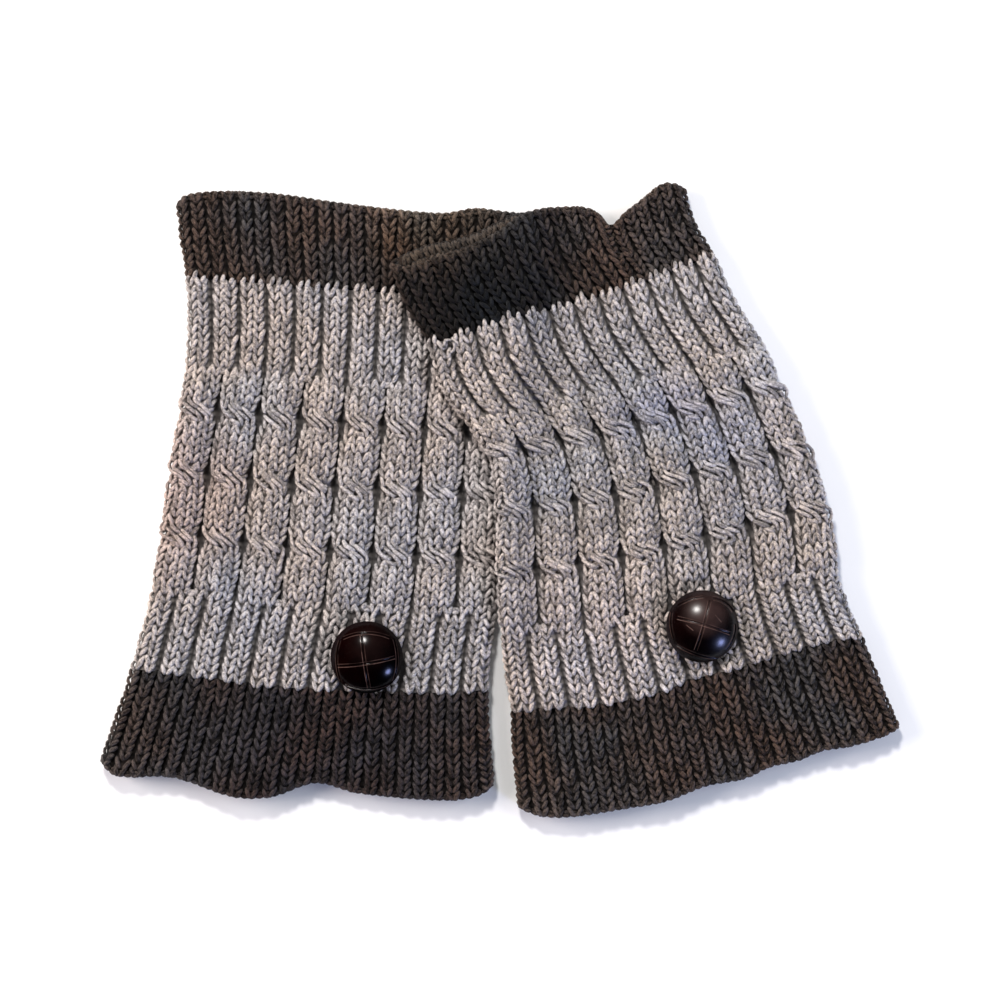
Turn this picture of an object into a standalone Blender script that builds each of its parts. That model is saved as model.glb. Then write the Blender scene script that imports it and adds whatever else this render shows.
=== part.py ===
"""A pair of cable-knit leg warmers, laid flat, the right one lying over the side of the left one.

Each leg warmer is a knitted tube: a ribbed top band, a body with ribs and cables, a ribbed and flared hem
band, and one domed leather-look button. Tables and sizes are in millimetres, and meshes are made in metres,
+Z up. Rows of stitches are counted from the mouth down to the hem. "Across" runs from 0 at a tube's left fold
to 1 at its right fold.
"""

import bisect
import math
from collections import namedtuple

import bmesh
import bpy

MM = 0.001

# The tube's wall, laid flat
WALL_LEVEL = 6.0
BACK_WALL = 2.6
INNER_GAP = 0.6
SIDE_WALL = 3.0
THINNEST_FRONT = 1.15
THINNEST_GAP = 0.25
ROW_HEIGHT = 2.7
SEAM_GAP = 0.32
CLEARANCE = 0.3

# Rows of stitches from the mouth
MOUTH = 0
TOP_BAND_END = 10
CABLES_START = 21
CROSSINGS = (26.5, 34.5, 42.5)
CABLES_END = 50
BODY_END = 60
HEM_END = 73

# Ribs and cables that one face of a tube shows, and how high they stand
TOP_RIBS = 22
BODY_RIBS = 12
CABLES = 8
HEM_RIBS = 24
BAND_RIB_HEIGHT = 0.9
BODY_RIB_HEIGHT = 1.2
CABLE_HEIGHT = 1.7
CROSSING_RIDGE = 0.6
CROSSING_DENT = 0.8
CROSSING_REACH = 2.6
SIDE_RELIEF = 0.5

# The right one lies on the left one, and comes down to the floor beside it
REST_HEIGHT = WALL_LEVEL + CLEARANCE
DESCENT = 16.0
LEVEL_UNTIL_Y = -37.0
FLOOR_FROM_Y = -66.0
FOLD_PRESSES_FROM = -4.5
FOLD_PRESSED_AT = -0.5
RIM_PRESSES_FROM = -9.0
RIM_PRESSED_AT = -4.0

# Buttons
BUTTON_RADIUS = 12.5
BUTTON_RIM = 2.4
BUTTON_DOME = 5.6
BUTTON_FOOT = 11.2
FOOT_HEIGHT = 0.9
GROOVE_HALF_WIDTH = 0.5
GROOVE_DEPTH = 0.55
RING_GROOVE = 10.6
SEAT_HEIGHT = 0.9
SEAT_MARGIN = 3.0
SEAT_BLEND = 9.0

Station = namedtuple("Station", "row left_x left_y right_x right_y")
Edge = namedtuple("Edge", "across out")
Wave = namedtuple("Wave", "across rise half_width")
Button = namedtuple("Button", "x y turn cross_x cross_y")
Warmer = namedtuple(
    "Warmer", "name sides mouth_front mouth_back upper lower hem waves pleat button lies_over"
)

LEFT_SIDES = [
    Station(0, -111.8, 102.6, 6.9, 99.1),
    Station(5, -110.4, 89.7, 5.9, 83.9),
    Station(10, -108.3, 76.9, 4.5, 68.6),
    Station(16, -107.6, 60.9, 3.1, 52.6),
    Station(21, -108.3, 47.0, 2.1, 38.4),
    Station(26.5, -110.4, 31.8, 1.0, 23.8),
    Station(34.5, -114.2, 9.9, 0.0, 2.3),
    Station(42.5, -117.0, -11.6, -0.7, -19.3),
    Station(50, -120.5, -31.8, -1.7, -38.7),
    Station(55, -124.0, -45.7, -3.5, -51.9),
    Station(60, -127.4, -58.5, -4.5, -65.8),
    Station(66, -132.3, -73.4, -3.8, -82.5),
    Station(73, -138.2, -90.1, -2.4, -98.4),
]
RIGHT_SIDES = [
    Station(0, -37.8, 81.4, 63.5, 107.8),
    Station(5, -32.3, 67.5, 67.3, 96.0),
    Station(10, -24.3, 53.6, 74.2, 84.2),
    Station(14, -21.9, 42.9, 80.4, 70.3),
    Station(18, -17.4, 34.2, 86.3, 61.0),
    Station(22, -10.4, 25.5, 92.0, 51.9),
    Station(26.5, -4.2, 16.1, 97.3, 40.0),
    Station(30, -1.7, 7.1, 101.7, 29.7),
    Station(34.5, -0.7, -4.0, 106.8, 18.6),
    Station(38, -0.7, -13.7, 110.4, 7.8),
    Station(42.5, -0.7, -25.2, 113.6, -2.6),
    Station(46, -0.3, -34.5, 115.5, -14.4),
    Station(50, 0.7, -46.4, 117.0, -25.9),
    Station(55, 2.1, -59.5, 120.5, -37.0),
    Station(60, 4.2, -73.4, 125.3, -47.7),
    Station(66, 4.9, -89.4, 131.9, -63.7),
    Station(73, 6.6, -106.1, 138.2, -78.6),
]

# How far an edge or a change of colour stands out towards the mouth, past the straight line between its folds
LEFT_MOUTH = [
    Edge(0, 0),
    Edge(0.02, 2.4),
    Edge(0.06, 3.7),
    Edge(0.15, 4.6),
    Edge(0.30, 4.1),
    Edge(0.45, 2.0),
    Edge(0.65, -0.2),
    Edge(0.78, -0.8),
    Edge(0.87, 1.2),
    Edge(0.95, 0.4),
    Edge(1, 0),
]
LEFT_UPPER = [Edge(0, 0), Edge(1, 0)]
LEFT_LOWER = [
    Edge(0, 0),
    Edge(0.19, -1.4),
    Edge(0.36, -3.0),
    Edge(0.50, -3.4),
    Edge(0.70, -2.8),
    Edge(0.88, -2.0),
    Edge(1, 0),
]
LEFT_HEM = [
    Edge(0, 0),
    Edge(0.03, -4.0),
    Edge(0.08, -4.9),
    Edge(0.14, -4.0),
    Edge(0.20, -4.3),
    Edge(0.33, -9.0),
    Edge(0.39, -9.6),
    Edge(0.45, -8.4),
    Edge(0.55, -3.0),
    Edge(0.66, -5.6),
    Edge(0.89, -6.1),
    Edge(0.97, -3.8),
    Edge(1, 0),
]
RIGHT_MOUTH_FRONT = [
    Edge(0, 0),
    Edge(0.055, -2.8),
    Edge(0.17, -1.8),
    Edge(0.26, -1.3),
    Edge(0.38, 1.5),
    Edge(0.45, 4.4),
    Edge(0.53, 5.2),
    Edge(0.65, 2.9),
    Edge(0.70, -0.2),
    Edge(0.73, -6.0),
    Edge(0.79, -3.2),
    Edge(0.86, -0.2),
    Edge(0.94, 3.2),
    Edge(0.985, 1.8),
    Edge(1, 0),
]
RIGHT_MOUTH_BACK = [
    Edge(0, 0),
    Edge(0.03, 1.4),
    Edge(0.12, 2.9),
    Edge(0.26, 2.6),
    Edge(0.38, 4.6),
    Edge(0.45, 5.6),
    Edge(0.53, 5.0),
    Edge(0.65, 2.4),
    Edge(0.70, -0.8),
    Edge(0.73, -6.3),
    Edge(0.79, -3.6),
    Edge(0.86, -0.8),
    Edge(0.93, 1.6),
    Edge(1, 0),
]
RIGHT_UPPER = [
    Edge(0, 0),
    Edge(0.14, -0.5),
    Edge(0.25, 0.4),
    Edge(0.42, -0.8),
    Edge(0.565, -1.3),
    Edge(0.67, -1.0),
    Edge(0.81, -0.2),
    Edge(1, 0),
]
RIGHT_LOWER = [
    Edge(0, 0),
    Edge(0.14, -2.2),
    Edge(0.22, -3.9),
    Edge(0.41, -4.2),
    Edge(0.51, -2.0),
    Edge(0.65, -1.5),
    Edge(0.80, 0.4),
    Edge(0.94, 0.8),
    Edge(1, 0),
]
RIGHT_HEM = [
    Edge(0, 0),
    Edge(0.03, -3.2),
    Edge(0.08, -5.8),
    Edge(0.16, -7.2),
    Edge(0.27, -7.9),
    Edge(0.37, -8.2),
    Edge(0.48, -6.0),
    Edge(0.58, -6.2),
    Edge(0.65, -4.1),
    Edge(0.73, -3.9),
    Edge(0.79, -2.3),
    Edge(0.87, -2.7),
    Edge(0.96, -1.6),
    Edge(1, 0),
]

# Where the front layer of a flared hem lifts off the back one, dying out towards the body
LEFT_WAVES = [Wave(0.12, 1.2, 0.09), Wave(0.38, 2.4, 0.11), Wave(0.84, 1.7, 0.12)]
RIGHT_WAVES = [Wave(0.14, 1.5, 0.10), Wave(0.37, 2.0, 0.10), Wave(0.60, 1.1, 0.07), Wave(0.86, 1.4, 0.09)]

# The crease pressed into the right one's top band, from the notch in its mouth
PLEAT_START = 0.73
PLEAT_DRIFT = 0.008
PLEAT_DEPTH = 2.0
PLEAT_HALF_WIDTH = 0.055
PLEAT_END_ROW = 15

WARMERS = [
    Warmer(
        name="left",
        sides=LEFT_SIDES,
        mouth_front=LEFT_MOUTH,
        mouth_back=LEFT_MOUTH,
        upper=LEFT_UPPER,
        lower=LEFT_LOWER,
        hem=LEFT_HEM,
        waves=LEFT_WAVES,
        pleat=False,
        button=Button(-46.0, -54.3, -5.0, -0.5, -1.9),
        lies_over=False,
    ),
    Warmer(
        name="right",
        sides=RIGHT_SIDES,
        mouth_front=RIGHT_MOUTH_FRONT,
        mouth_back=RIGHT_MOUTH_BACK,
        upper=RIGHT_UPPER,
        lower=RIGHT_LOWER,
        hem=RIGHT_HEM,
        waves=RIGHT_WAVES,
        pleat=True,
        button=Button(69.8, -43.6, -17.5, 0.35, 1.15),
        lies_over=True,
    ),
]

# Columns across the back and the inside: close together where the right one comes down beside the left one
EVEN_COLUMNS = (0.1, 0.3, 0.5, 0.7, 0.9)
CLOSE_COLUMNS = (*(0.04 * column for column in range(1, 13)), 0.53, 0.6, 0.67, 0.71, 0.74, 0.8, 0.9)


def smooth(low, high, value):
    """0 below low, 1 above high, and an even S between them."""
    share = min(max((value - low) / (high - low), 0.0), 1.0)
    return share * share * (3 - 2 * share)


def read(table, name, where):
    """The named column of a table, at a place between its rows, on a smooth curve through them."""
    places = [entry[0] for entry in table]
    values = [getattr(entry, name) for entry in table]
    where = min(max(where, places[0]), places[-1])
    i = min(bisect.bisect_right(places, where), len(places) - 1) - 1

    def slope(k):
        before, after = max(k - 1, 0), min(k + 1, len(places) - 1)
        return (values[after] - values[before]) / (places[after] - places[before])

    span = places[i + 1] - places[i]
    t = (where - places[i]) / span
    start = (1 + 2 * t) * (1 - t) ** 2 * values[i] + t * (1 - t) ** 2 * span * slope(i)
    end = t * t * (3 - 2 * t) * values[i + 1] - t * t * (1 - t) * span * slope(i + 1)
    return start + end


def side(warmer, row):
    """The left and right fold of a tube at a row, as two points."""
    left = (read(warmer.sides, "left_x", row), read(warmer.sides, "left_y", row))
    right = (read(warmer.sides, "right_x", row), read(warmer.sides, "right_y", row))
    return left, right


def stands_out(warmer, row, across, back):
    """How far a row stands out towards the mouth, past the straight line between its folds."""
    mouth = warmer.mouth_back if back else warmer.mouth_front
    keys = [(MOUTH, mouth), (TOP_BAND_END, warmer.upper), (BODY_END, warmer.lower), (HEM_END, warmer.hem)]
    for (row_a, table_a), (row_b, table_b) in zip(keys, keys[1:]):
        if row <= row_b:
            share = (row - row_a) / (row_b - row_a)
            return (1 - share) * read(table_a, "out", across) + share * read(table_b, "out", across)
    return read(warmer.hem, "out", across)


def place(warmer, row, across, back=False):
    """The point over the floor at a row and a share across a tube."""
    left, right = side(warmer, row)
    above_left, above_right = side(warmer, max(row - 1, MOUTH))
    below_left, below_right = side(warmer, min(row + 1, HEM_END))
    up_x = above_left[0] + above_right[0] - below_left[0] - below_right[0]
    up_y = above_left[1] + above_right[1] - below_left[1] - below_right[1]
    out = stands_out(warmer, row, across, back) / math.hypot(up_x, up_y)
    x = left[0] + (right[0] - left[0]) * across + up_x * out
    y = left[1] + (right[1] - left[1]) * across + up_y * out
    return x, y


Bound = namedtuple("Bound", "at value")
LEFT_RIGHT_FOLD = [Bound(s.right_y, s.right_x) for s in reversed(LEFT_SIDES)]
RIGHT_LEFT_FOLD = [Bound(s.left_y, s.left_x) for s in reversed(RIGHT_SIDES)]
RIGHT_RIM = [Bound(*place(WARMERS[1], MOUTH, share / 12, back=True)) for share in range(13)]


def lift(warmer, x, y):
    """How high a tube's underside lies: the right one rests on the left one and comes down beside it."""
    if not warmer.lies_over:
        return 0.0
    beside = x - read(LEFT_RIGHT_FOLD, "value", y)
    comes_down = smooth(0, DESCENT, beside)
    reaches_floor = 1 - smooth(FLOOR_FROM_Y, LEVEL_UNTIL_Y, y)
    return REST_HEIGHT * (1 - comes_down) * (1 - reaches_floor)


def pressed(warmer, x, y):
    """1 where the other leg warmer lies on this one and presses its ribs flat, and 0 clear of it."""
    if warmer.lies_over:
        return 0.0
    beside_fold = smooth(FOLD_PRESSES_FROM, FOLD_PRESSED_AT, x - read(RIGHT_LEFT_FOLD, "value", y))
    below_rim = smooth(RIM_PRESSES_FROM, RIM_PRESSED_AT, read(RIGHT_RIM, "value", x) - y)
    return beside_fold * below_rim


def band_rib(phase):
    """Height of a knit-one purl-one rib, from 0 in its groove to 1 on top."""
    return min(1.0, 1.3 * math.sin(math.pi * phase))


def body_rib(phase):
    """Height of a knit-two purl-two rib, with a narrow groove and a broad round top."""
    return min(1.0, 0.62 + 0.38 * math.sin(math.pi * phase)) * smooth(0, 0.2, min(phase, 1 - phase))


def cable(phase, row):
    """Height of a cable in millimetres: a round cord whose strands swap places at each crossing."""
    height = CABLE_HEIGHT * (0.72 + 0.28 * math.sin(math.pi * phase)) * smooth(0, 0.14, min(phase, 1 - phase))
    for crossing in CROSSINGS:
        t = (row - crossing) / CROSSING_REACH
        if abs(t) < 1:
            near = (1 - t * t) ** 0.5
            over = math.exp(-(((phase - 0.5 - 0.3 * t) / 0.2) ** 2))
            under = math.exp(-(((phase - 0.5 + 0.42 * t) / 0.16) ** 2)) * abs(t)
            height += near * (CROSSING_RIDGE * over - CROSSING_DENT * under)
    return height


def relief(warmer, piece, row, share, x, y):
    """How far the knitting stands out of the plain wall, in millimetres."""
    if piece == "top_band":
        height = BAND_RIB_HEIGHT * band_rib(share * TOP_RIBS % 1)
    elif piece == "hem_band":
        height = BAND_RIB_HEIGHT * band_rib(share * HEM_RIBS % 1)
    else:
        cabled = smooth(CABLES_START - 1, CABLES_START + 1, row) - smooth(CABLES_END - 1, CABLES_END + 1, row)
        ribbed = BODY_RIB_HEIGHT * body_rib(share * BODY_RIBS % 1)
        height = (1 - cabled) * ribbed + cabled * cable(share * CABLES % 1, row)
    from_button = math.hypot(x - warmer.button.x, y - warmer.button.y) - BUTTON_RADIUS
    clear = smooth(SEAT_MARGIN, SEAT_BLEND, from_button)
    height = clear * height + (1 - clear) * SEAT_HEIGHT
    return height * (1 - pressed(warmer, x, y))


def wave(warmer, row, across):
    """How far the front layer lifts off the back one at a flared hem, less the pleat in a top band."""
    flare = smooth(BODY_END - 3, HEM_END, row)
    rise = sum(w.rise * math.exp(-(((across - w.across) / w.half_width) ** 2)) for w in warmer.waves)
    if not warmer.pleat:
        return rise * flare
    crease = (across - PLEAT_START - PLEAT_DRIFT * row) / PLEAT_HALF_WIDTH
    return rise * flare - PLEAT_DEPTH * math.exp(-(crease**2)) * (1 - smooth(MOUTH + 4, PLEAT_END_ROW, row))


def section(width, share):
    """Inset, rise and outward direction on half of a flat tube's section, by the share of its length."""
    radius = WALL_LEVEL / 2
    arc = math.pi * radius / 2
    length = width - 2 * radius + 2 * arc
    along = share * length
    from_end = min(along, length - along)
    if from_end >= arc:
        return radius + along - arc, radius, 0.0, 1.0
    angle = from_end / radius
    inset = radius - radius * math.cos(angle)
    if along < arc:
        return inset, radius * math.sin(angle), -math.cos(angle), math.sin(angle)
    return width - inset, radius * math.sin(angle), math.cos(angle), math.sin(angle)


def outer_front(warmer, piece, row, share):
    """A point on the front face, with its ribs and cables."""
    left, right = side(warmer, row)
    width = math.dist(left, right)
    inset, rise, aside, upward = section(width, share)
    x, y = place(warmer, row, inset / width)
    height = relief(warmer, piece, row, share, x, y)
    across = (inset + aside * height * SIDE_RELIEF) / width
    x, y = place(warmer, row, across)
    radius = WALL_LEVEL / 2
    rise += height * upward + wave(warmer, row, across) * upward
    return x, y, lift(warmer, x, y) + radius + rise


def outer_back(warmer, row, share):
    """A point on the plain underside."""
    left, right = side(warmer, row)
    width = math.dist(left, right)
    inset, rise, _, _ = section(width, share)
    x, y = place(warmer, row, inset / width, back=True)
    return x, y, lift(warmer, x, y) + WALL_LEVEL / 2 - rise


def inner(warmer, row, across, back):
    """A point on the inside of the tube, on its back or front wall."""
    left, right = side(warmer, row)
    width = math.dist(left, right)
    inset = SIDE_WALL + (width - 2 * SIDE_WALL) * across
    x, y = place(warmer, row, inset / width, back=back)
    floor = lift(warmer, x, y)
    if across in (0, 1):
        return x, y, floor + BACK_WALL + INNER_GAP / 2
    if back:
        return x, y, floor + BACK_WALL
    lifted = wave(warmer, row, inset / width)
    roof = BACK_WALL + max(THINNEST_GAP, INNER_GAP + lifted)
    return x, y, floor + min(roof, WALL_LEVEL + lifted - THINNEST_FRONT)


def rib_shares(count, phases):
    """Places across the front face, at the same phases of each rib."""
    return [(rib + phase) / count for rib in range(count) for phase in phases] + [1.0]


def body_shares(row):
    """Places across the body's front face, which follow the ribs, and the cables further down."""
    ribs = rib_shares(BODY_RIBS, (0, 0.2, 0.5, 0.8))
    cables = rib_shares(CABLES, (0, 0.14, 0.32, 0.5, 0.68, 0.86))
    cabled = smooth(CABLES_START - 1, CABLES_START + 1, row) - smooth(CABLES_END - 1, CABLES_END + 1, row)
    return [(1 - cabled) * rib + cabled * cord for rib, cord in zip(ribs, cables)]


def fold_shares(width, columns):
    """Places across the back face: round the folds, and at the columns between them."""
    radius = WALL_LEVEL / 2
    arc = math.pi * radius / 2
    length = width - 2 * radius + 2 * arc
    near = [arc / length / 2, arc / length]
    flat = [(arc + (width - 2 * radius) * column) / length for column in columns]
    return near + flat + [1 - share for share in reversed(near)]


def zip_loops(mesh, outer, outer_places, inside, inner_places):
    """Closes the rim between two rows of points that run the same way at their own spacing."""
    i = j = 0
    while i < len(outer) - 1 or j < len(inside) - 1:
        outer_next = outer_places[i + 1] if i < len(outer) - 1 else math.inf
        inner_next = inner_places[j + 1] if j < len(inside) - 1 else math.inf
        if outer_next <= inner_next:
            mesh.faces.new((outer[i], outer[i + 1], inside[j]))
            i += 1
        else:
            mesh.faces.new((outer[i], inside[j + 1], inside[j]))
            j += 1


def bridge(mesh, loop_a, loop_b):
    """Joins two closed rows of as many points."""
    count = len(loop_a)
    for i in range(count):
        k = (i + 1) % count
        mesh.faces.new((loop_a[i], loop_a[k], loop_b[k], loop_b[i]))


def tube(warmer, piece, rows, inner_rows):
    """One knitted piece of a leg warmer, as a closed wall open at both ends."""
    mesh = bmesh.new()
    columns = CLOSE_COLUMNS if warmer.lies_over else EVEN_COLUMNS

    def ring(points):
        return [mesh.verts.new([value * MM for value in point]) for point in points]

    def front_places(row):
        if piece == "body":
            return body_shares(row)
        return rib_shares(TOP_RIBS if piece == "top_band" else HEM_RIBS, (0, 1 / 3, 2 / 3))

    def back_places(row):
        left, right = side(warmer, row)
        return fold_shares(math.dist(left, right), columns)

    outer_rings = []
    for row in rows:
        front = [outer_front(warmer, piece, row, share) for share in front_places(row)]
        back = [outer_back(warmer, row, share) for share in reversed(back_places(row))]
        outer_rings.append(ring(front + back))
    inner_rings = []
    for row in inner_rows:
        front = [inner(warmer, row, across, False) for across in (0, *columns, 1)]
        back = [inner(warmer, row, across, True) for across in reversed(columns)]
        inner_rings.append(ring(front + back))
    for first, second in zip(outer_rings, outer_rings[1:]):
        bridge(mesh, second, first)
    for first, second in zip(inner_rings, inner_rings[1:]):
        bridge(mesh, first, second)
    for end in (0, -1):
        outside, inside = outer_rings[end], inner_rings[end]
        fronts = front_places(rows[end])
        backs = [0, *(1 - share for share in reversed(back_places(rows[end]))), 1]
        inner_backs = [0, *(1 - across for across in reversed(columns)), 1]
        fold, inner_fold = len(fronts) - 1, len(columns) + 1
        zip_loops(mesh, outside[: fold + 1], fronts, inside[: inner_fold + 1], (0, *columns, 1))
        zip_loops(mesh, [*outside[fold:], outside[0]], backs, [*inside[inner_fold:], inside[0]], inner_backs)
    return mesh


def button(warmer):
    """A domed button with a cross and a ring pressed into it, seated on the knitting."""
    mesh = bmesh.new()
    shape = warmer.button
    seat = WALL_LEVEL + SEAT_HEIGHT + CLEARANCE + lift(warmer, shape.x, shape.y)
    turn = math.radians(shape.turn)
    radii = (1.5, 3.8, 6.2, 8.4, 10.0, RING_GROOVE, 11.3, 12.2, BUTTON_RADIUS)

    def dome(radius):
        return BUTTON_RIM + BUTTON_DOME * (1 - (radius / BUTTON_RADIUS) ** 2) ** 0.62

    def ring(radius, height, grooved):
        edge = math.asin(GROOVE_HALF_WIDTH / radius)
        keep = 1 - (radius / BUTTON_RADIUS) ** 2
        points = []
        for quadrant in range(4):
            start = quadrant * math.pi / 2
            for angle in (0, edge, math.pi / 6, math.pi / 3, math.pi / 2 - edge):
                x = shape.x + shape.cross_x * keep + radius * math.cos(turn + start + angle)
                y = shape.y + shape.cross_y * keep + radius * math.sin(turn + start + angle)
                sunk = GROOVE_DEPTH if grooved and angle == 0 else 0.0
                points.append(mesh.verts.new((x * MM, y * MM, (seat + height - sunk) * MM)))
        return points

    rings = []
    for radius in radii:
        height = dome(radius) - (GROOVE_DEPTH if radius == RING_GROOVE else 0.0)
        rings.append(ring(radius, height, grooved=radius < RING_GROOVE))
    rings.append(ring(BUTTON_RADIUS, FOOT_HEIGHT, grooved=False))
    rings.append(ring(BUTTON_FOOT, 0.0, grooved=False))
    for first, second in zip(rings, rings[1:]):
        bridge(mesh, first, second)
    top = mesh.verts.new(
        ((shape.x + shape.cross_x) * MM, (shape.y + shape.cross_y) * MM, (seat + dome(0) - GROOVE_DEPTH) * MM)
    )
    count = len(rings[0])
    for i in range(count):
        mesh.faces.new((rings[0][(i + 1) % count], rings[0][i], top))
    mesh.faces.new(rings[-1])
    return mesh


def body_rows():
    """Rows at which the body has a ring of points: close together at each cable crossing."""
    rows = [TOP_BAND_END, 14, 18, CABLES_START - 1, CABLES_START + 1]
    for crossing in CROSSINGS:
        rows += [crossing + offset for offset in (-2.6, -1.3, 0, 1.3, 2.6)]
    return rows + [47.3, CABLES_END - 1, CABLES_END + 1, 54, 57, BODY_END]


def parted(rows):
    """The same rows, with both ends drawn in where the piece meets its neighbour."""
    half_seam = SEAM_GAP / 2 / ROW_HEIGHT
    first = rows[0] if rows[0] == MOUTH else rows[0] + half_seam
    last = rows[-1] if rows[-1] == HEM_END else rows[-1] - half_seam
    return [first, *rows[1:-1], last]


def finish(name, mesh, color, roughness, smooth_shaded):
    """Makes a named object with its own material from a mesh."""
    bmesh.ops.recalc_face_normals(mesh, faces=mesh.faces)
    data = bpy.data.meshes.new(name)
    mesh.to_mesh(data)
    mesh.free()
    if smooth_shaded:
        data.shade_smooth()
    material = bpy.data.materials.new(name)
    material.use_nodes = True
    shader = material.node_tree.nodes["Principled BSDF"]
    shader.inputs["Base Color"].default_value = (*color, 1)
    shader.inputs["Roughness"].default_value = roughness
    shader.inputs["Metallic"].default_value = 0.0
    data.materials.append(material)
    made = bpy.data.objects.new(name, data)
    bpy.context.scene.collection.objects.link(made)


def main():
    for old in list(bpy.data.objects):
        bpy.data.objects.remove(old)
    heather = (0.27, 0.24, 0.23)
    charcoal = (0.03, 0.024, 0.021)
    oxblood = (0.014, 0.005, 0.005)
    knitted = (
        ("top_band", [MOUTH, 1, 3, 5, 7, 8.5, TOP_BAND_END], [MOUTH, 3, 6, TOP_BAND_END], charcoal),
        ("body", body_rows(), [TOP_BAND_END, 15, 20, 25, 30, 35, 40, 45, 50, 55, BODY_END], heather),
        ("hem_band", [BODY_END, 62, 65, 68, 71, HEM_END], [BODY_END, 64, 69, HEM_END], charcoal),
    )
    for warmer in WARMERS:
        for piece, rows, inner_rows, color in knitted:
            mesh = tube(warmer, piece, parted(rows), parted(inner_rows))
            finish(f"{warmer.name}_{piece}", mesh, color, roughness=0.95, smooth_shaded=True)
        finish(f"{warmer.name}_button", button(warmer), oxblood, roughness=0.25, smooth_shaded=False)


main()
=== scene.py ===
"""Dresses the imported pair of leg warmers: stitches in real yarn, cables, edges and leather-look buttons.

Tables are in millimetres, the panel's sizes and the meshes in metres, +Z up. Rows of stitches are counted
from the mouth down to the hem. "Share" runs along a face of a tube, from 0 at its left fold to 1 at its right
fold, round the folds as well, and "across" is the same straight over the floor.
"""

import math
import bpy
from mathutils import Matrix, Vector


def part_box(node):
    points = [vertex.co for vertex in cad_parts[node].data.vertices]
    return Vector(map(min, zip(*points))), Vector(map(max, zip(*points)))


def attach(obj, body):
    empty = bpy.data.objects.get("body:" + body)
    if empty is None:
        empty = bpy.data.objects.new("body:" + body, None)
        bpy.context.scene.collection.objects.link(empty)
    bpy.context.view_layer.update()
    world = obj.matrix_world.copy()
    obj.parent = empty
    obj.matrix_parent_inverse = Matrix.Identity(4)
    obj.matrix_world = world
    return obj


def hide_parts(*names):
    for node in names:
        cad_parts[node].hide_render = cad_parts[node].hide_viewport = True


bl_info = {
    "name": "Leg warmers",
    "version": (1, 0, 0),
    "blender": (4, 5, 0),
    "location": "View3D > Sidebar > Leg warmers",
    "description": "Knits a pair of cabled leg warmers with leather-look buttons",
    "category": "Object",
}

from collections import namedtuple

import bpy
import numpy as np
from mathutils import Vector

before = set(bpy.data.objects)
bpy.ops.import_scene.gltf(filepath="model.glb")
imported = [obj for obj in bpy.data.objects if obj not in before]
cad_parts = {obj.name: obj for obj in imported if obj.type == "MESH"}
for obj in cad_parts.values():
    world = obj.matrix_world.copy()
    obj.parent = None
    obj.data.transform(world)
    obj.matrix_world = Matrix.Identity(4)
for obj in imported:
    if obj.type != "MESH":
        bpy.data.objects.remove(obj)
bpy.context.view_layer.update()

MM = 0.001

# The tube's wall, laid flat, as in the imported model
WALL_LEVEL = 6.0
FOLD_RADIUS = WALL_LEVEL / 2
FOLD_ARC = math.pi * FOLD_RADIUS / 2
BACK_WALL = 2.6
INNER_GAP = 0.6
SIDE_WALL = 3.0
THINNEST_FRONT = 1.15
THINNEST_GAP = 0.25
ROW_HEIGHT = 2.7
CLEARANCE = 0.3
SIDE_RELIEF = 0.5

# Rows of stitches from the mouth
MOUTH = 0
TOP_BAND_END = 10
CABLES_START = 21
CROSSINGS = (26.5, 34.5, 42.5)
CABLES_END = 50
BODY_END = 60
HEM_END = 73

TOP_RIBS = 22
HEM_RIBS = 24

# The knitting's own pattern. A group is a quarter of a face: three ribs, which become two cables.
GROUPS = 4
RIB_WALES = {0: 0.100, 1: 0.233, 4: 0.4335, 5: 0.5665, 8: 0.767, 9: 0.900}
CABLE_WALES = {0: 0.069, 1: 0.190, 2: 0.310, 3: 0.431, 6: 0.569, 7: 0.690, 8: 0.810, 9: 0.931}
CABLE_STRANDS = ((0, 1, 2, 3), (6, 7, 8, 9))

# How wide a stitch is, as a share of a band's column or of a group, and what the two folds add to a face
BAND_PITCH = 0.84
RIB_PITCH = 0.134
CABLE_PITCH = 0.122
FOLD_EXTRA = 3.4

# A crossing of a cable, in shares of a group and in rows: how far its strands go and how they draw in
OVER_WALES = (0, 1, 6, 7)
CROSSING_SHIFT = 0.232
CROSSING_RUN = 0.9
CROSSING_STAGGER = 0.30
CROSSING_PINCH = 0.08
UNDER_PINCH = 0.19
CROSSING_EASE = 0.35
CROSSING_REACH = 1.8

# Height of the ribs and cables, flat round a button, and the hollows at the crossings and the cables' ends
BAND_RELIEF = 1.05
BAND_ROUNDNESS = 0.6
RIB_FULLNESS = 1.45
RIB_ROUNDNESS = 0.6
CABLE_FULLNESS = 1.15
CABLE_ROUNDNESS = 0.72
CABLE_PINCH = 0.42
CABLE_END_ROWS = (CABLES_START + 0.3, CABLES_END - 0.3)
CABLE_END_REACH = 2.0
PRESSED_UNTIL = 1.2
CLEAR_FROM = 5.5
DENT_DEPTH = 0.5
DENT_REACH = 2.4
DENT_SLANT = 0.16
DENT_WIDTH = 0.085
RIB_END_WIDTH = 0.05

# A link of the bound-off edge: its length, and how it bows, sinks and thins towards its two ends
LINK_LENGTH = 2.6
LINK_BOW = np.array([0.15, 0.55, 0.75, 0.55, 0.15])
LINK_HEIGHT = np.array([-0.9, -0.25, 0.0, -0.25, -0.9])
LINK_GIRTH = np.array([0.55, 0.8, 0.9, 0.8, 0.55])

# How deep the plain wall lies behind the yarn
WALL_DEPTH = 0.95
WALL_DENT = 1.3
BACK_WALL_DEPTH = 1.5
INNER_ROWS = 12
LINING_ROWS = 3

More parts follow.
